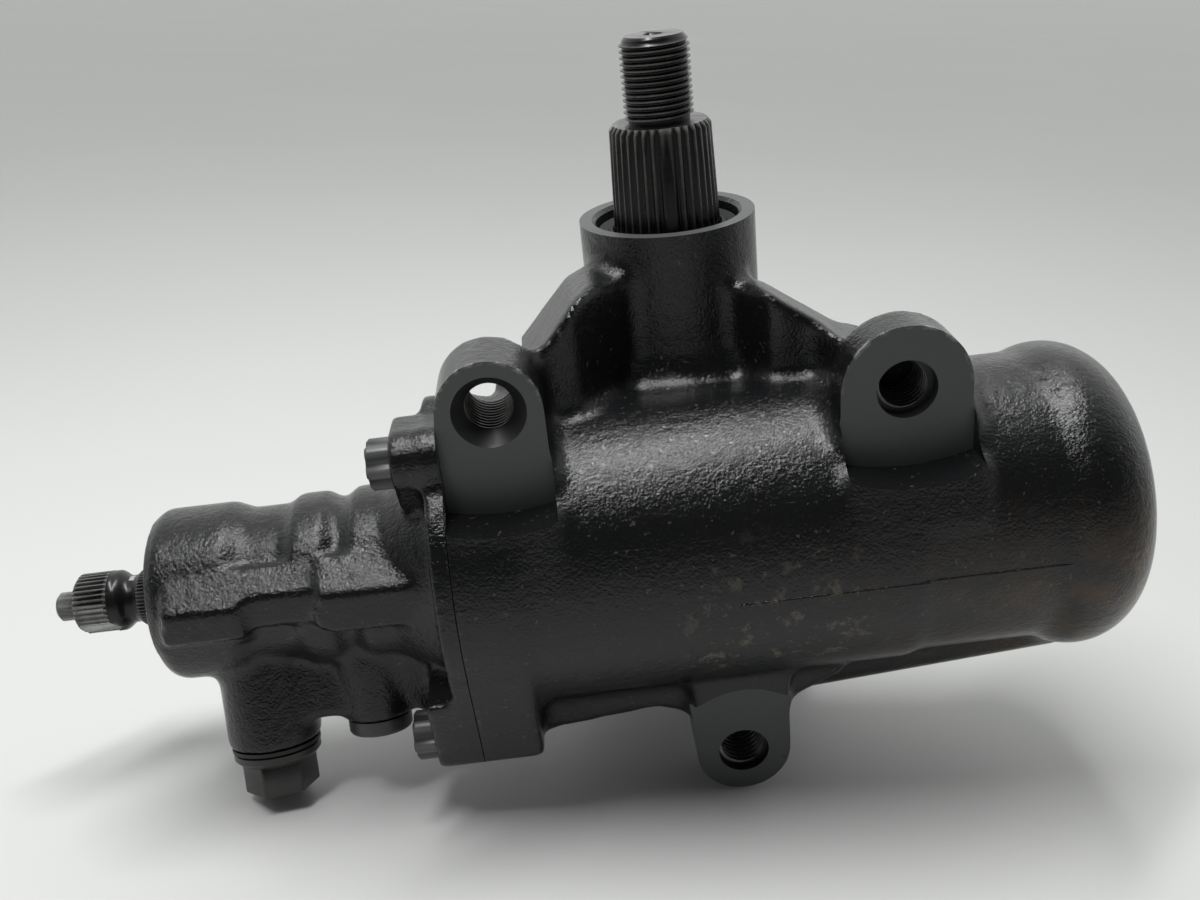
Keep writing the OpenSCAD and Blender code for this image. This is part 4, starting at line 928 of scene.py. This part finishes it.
def add_lobed_head(bm, seat, out, height):
    """A six-lobed bolt head that stands on its seat."""
    stand = facing(out, seat)
    count = 72
    rings = []
    for level, scale in ((0, 1), (height - 0.9 * MM, 1), (height, 0.88)):
        ring = []
        for i in range(count):
            turn = i * math.tau / count
            r = (6.95 * MM + 0.75 * MM * math.tanh(2.2 * math.cos(6 * turn))) * scale
            ring.append(bm.verts.new(stand @ Vector((r * math.cos(turn), r * math.sin(turn), level))))
        rings.append(ring)
    loops = [[bm.edges.new((ring[i - 1], ring[i])) for i in range(count)] for ring in rings]
    for low, high in zip(loops, loops[1:]):
        bmesh.ops.bridge_loops(bm, edges=low + high)
    for loop in (loops[0], loops[-1]):
        bmesh.ops.contextual_create(bm, geom=loop)


def bolt_set(name, node, out):
    """A set of bolts on the places of a node's solids, heads towards out."""
    bm = bmesh.new()
    for low, high in solids_of(node):
        middle = (low + high) / 2
        across = Vector([0 if abs(out[i]) else middle[i] for i in range(3)])
        near, far = sorted((low.dot(out), high.dot(out)))
        seat = across + out * (far - BOLT_HEAD)
        add_lobed_head(bm, seat, out, BOLT_HEAD)
        add_rod(bm, across + out * near, seat + out * 0.1 * MM, BOLT_SHANK_R, segments=32)
    bmesh.ops.recalc_face_normals(bm, faces=bm.faces)
    piece(name, bm, "housing", [fastener_black], [node], 40)


def add_hexagon(bm, start, end, flats, turn):
    """A hexagon bar between two points, by its width across the flats."""
    axis = (end - start).normalized()
    stand = facing(axis, (start + end) / 2) @ Matrix.Rotation(turn, 4, "Z")
    corner = flats / math.sqrt(3)
    bmesh.ops.create_cone(bm, cap_ends=True, segments=6, radius1=corner, radius2=corner,
                          depth=(end - start).length, matrix=stand)


def pressure_plug_hex():
    """The hexagon plug in the larger port, with its collar."""
    at = port_at("pressure_plug")
    washer_face, collar_t, hex_h = 52.7 * MM, 3.6 * MM, 11 * MM
    bm = bmesh.new()
    profile = [(0, washer_face), (12.6 * MM, washer_face), (13.8 * MM, washer_face + 0.8 * MM),
               (13.8 * MM, washer_face + 2.6 * MM), (12.4 * MM, washer_face + collar_t + 0.6 * MM),
               (10.4 * MM, washer_face + collar_t + 1.4 * MM), (0, washer_face + collar_t + 1.4 * MM)]
    add_spun(bm, profile, at, PORT_OUT)
    add_rod(bm, at + PORT_OUT * (washer_face - 12 * MM), at + PORT_OUT * (washer_face + MM), 8.1 * MM)
    hexagon = bmesh.new()
    hex_foot = washer_face + collar_t
    add_hexagon(hexagon, at + PORT_OUT * hex_foot, at + PORT_OUT * (hex_foot + hex_h), 20.5 * MM,
                math.radians(15))
    bmesh.ops.bevel(hexagon, geom=hexagon.edges[:], offset=0.7 * MM, segments=2, profile=0.5, affect="EDGES",
                    material=-1)
    join(bm, hexagon)
    bmesh.ops.recalc_face_normals(bm, faces=bm.faces)
    piece("pressure_plug_hex", bm, "housing", [plug_black], ["pressure_plug"], 40)


def return_plug_cap():
    """The low round plug in the smaller port, with a socket in its face."""
    at = port_at("return_plug")
    foot, top = RETURN_FACE - 12 * MM, RETURN_FACE + 5 * MM
    r, shank_r = 10.2 * MM, 7.1 * MM
    profile = [(0, foot), (shank_r, foot), (shank_r, RETURN_FACE), (r, RETURN_FACE), (r, top - 1.2 * MM),
               (r - 0.5 * MM, top - 0.35 * MM), (r - 1.4 * MM, top), (4.6 * MM, top),
               (4.4 * MM, top - 3.4 * MM), (0, top - 3.4 * MM)]
    bm = cutter(add_spun, profile, at, PORT_OUT, 64)
    piece("return_plug_cap", bm, "housing", [fastener_black], ["return_plug"], 30)


def adjuster_threaded():
    """The adjuster screw below its locknut, with a slot across its end."""
    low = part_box("adjuster_screw")[0].z
    r = 5 * MM
    foot = Vector((SECTOR.x, SECTOR.y, low))
    nut_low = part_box("adjuster_locknut")[0].z
    bm = cad_copy("adjuster_screw")
    trim(bm, -Z, -(nut_low + 4 * MM))
    screw = cutter(add_thread, foot, Z, nut_low + 5 * MM - low, r - 0.75 * MM, r, 1.25 * MM, 48)
    whole = fused(bm, [screw])
    slot = bmesh.new()
    slot_size = Matrix.Diagonal((14 * MM, 1.6 * MM, 6 * MM, 1))
    bmesh.ops.create_cube(slot, size=1, matrix=Matrix.Translation(foot) @ slot_size)
    done = machined(whole, [slot])
    piece("adjuster_threaded", done, "housing", [oiled_steel], ["adjuster_screw"], 28)


def adjuster_locknut_hex():
    """The bevelled hexagon nut on the adjuster screw."""
    low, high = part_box("adjuster_locknut")
    on_axis = Vector((SECTOR.x, SECTOR.y, 0))
    bm = bmesh.new()
    add_hexagon(bm, on_axis + Z * low.z, on_axis + Z * high.z, 19 * MM, 0)
    bmesh.ops.bevel(bm, geom=bm.edges[:], offset=0.8 * MM, segments=2, profile=0.5, affect="EDGES",
                    material=-1)
    bore_r = 4.9 * MM
    done = machined(bm, [cutter(add_rod, on_axis + Z * (low.z - MM), on_axis + Z * (high.z + MM), bore_r)])
    piece("adjuster_locknut_hex", done, "housing", [fastener_black],
          ["adjuster_locknut"], 40)


dress_nodes()
gear_housing_casting()
valve_housing_casting()
side_cover_casting()
sector_shaft_turned()
input_shaft_turned()
sector_dust_lip()
bolt_set("valve_housing_bolt_set", "valve_housing_bolts", -X)
bolt_set("side_cover_bolt_set", "side_cover_bolts", -Z)
pressure_plug_hex()
return_plug_cap()
adjuster_threaded()
adjuster_locknut_hex()


# Floor, light and camera

def lowest(node):
    """The lowest point of a node."""
    return min((v.co for v in nodes[node].data.vertices), key=lambda co: co.z).copy()


def floor():
    """A pale table under the three points that the gear rests on: adjuster, lower boss and plug."""
    foot = lowest("adjuster_screw")
    lower = mount_at["lower_mounting_hole"]
    boss = Vector((lower.x, PAD_Y, lower.z - PAD_HALF["lower_mounting_hole"]))
    plug = lowest("pressure_plug")
    up = (boss - foot).cross(plug - foot).normalized()
    if up.z < 0:
        up.negate()
    sink = min((v.co - foot).dot(up) for node in nodes.values() for v in node.data.vertices)
    bm = bmesh.new()
    level = facing(up, foot + up * (sink - 0.1 * MM))
    bmesh.ops.create_grid(bm, x_segments=1, y_segments=1, size=8, matrix=level)
    mesh = bpy.data.meshes.new("table")
    bm.to_mesh(mesh)
    bm.free()
    material, tree, shader = blank_material("pale_table")
    place = coords(tree)
    pale = blend_colour(tree, noise(tree, place, 3, 3, 0.5), (0.56, 0.566, 0.557), (0.6, 0.606, 0.597))
    tree.links.new(pale, shader.inputs["Base Color"])
    shader.inputs["Roughness"].default_value = 0.5
    mesh.materials.append(material)
    obj = bpy.data.objects.new("table", mesh)
    bpy.context.scene.collection.objects.link(obj)


def lamp(name, at, aim, size, power):
    """A rectangular panel that shines from one point towards another."""
    light = bpy.data.lights.new(name, "AREA")
    light.shape = "RECTANGLE"
    light.size, light.size_y = size
    light.energy = power
    obj = bpy.data.objects.new(name, light)
    obj.location = at
    obj.rotation_euler = (Vector(aim) - Vector(at)).to_track_quat("-Z", "Y").to_euler()
    bpy.context.scene.collection.objects.link(obj)


def studio():
    """A light box: a lamp panel overhead, white walls behind and a dark open front above its low sill."""
    lamp("overhead_panel", (-0.02, -0.02, 0.98), (-0.04, 0, 0.1), (0.85, 0.11), 9.5)
    world = bpy.data.worlds.new("light_box")
    world.use_nodes = True
    tree = world.node_tree
    background = tree.nodes["Background"]
    background.inputs["Color"].default_value = (0.97, 0.985, 0.975, 1)
    towards = add_node(tree, "SeparateXYZ", {"Vector": add_node(tree, "TexCoord").outputs["Generated"]})
    front_dark, wall_white, sill_grey = 0.03, 1.0, 0.45
    walls = ramp(tree, towards.outputs["Y"], -0.4, 0.3, front_dark, wall_white)
    sill = ramp(tree, towards.outputs["Z"], 0.09, 0.17, sill_grey, 0.0)
    tree.links.new(math_node(tree, "MAXIMUM", walls, sill), background.inputs["Strength"])
    bpy.context.scene.world = world


def camera():
    """The photograph's camera: a 36 mm lens a little above the gear, rolled with the table."""
    data = bpy.data.cameras.new("photo_camera")
    data.sensor_width = 36
    data.lens = 36.056
    data.clip_start = 0.01
    obj = bpy.data.objects.new("photo_camera", data)
    obj.location = Vector((1.2, -357.5, 281.1)) * MM
    obj.rotation_euler = Euler([math.radians(a) for a in (64.399, 5.604, -3.739)])
    bpy.context.scene.collection.objects.link(obj)
    bpy.context.scene.camera = obj


floor()
studio()
camera()
bpy.context.scene.view_settings.view_transform = "Standard"
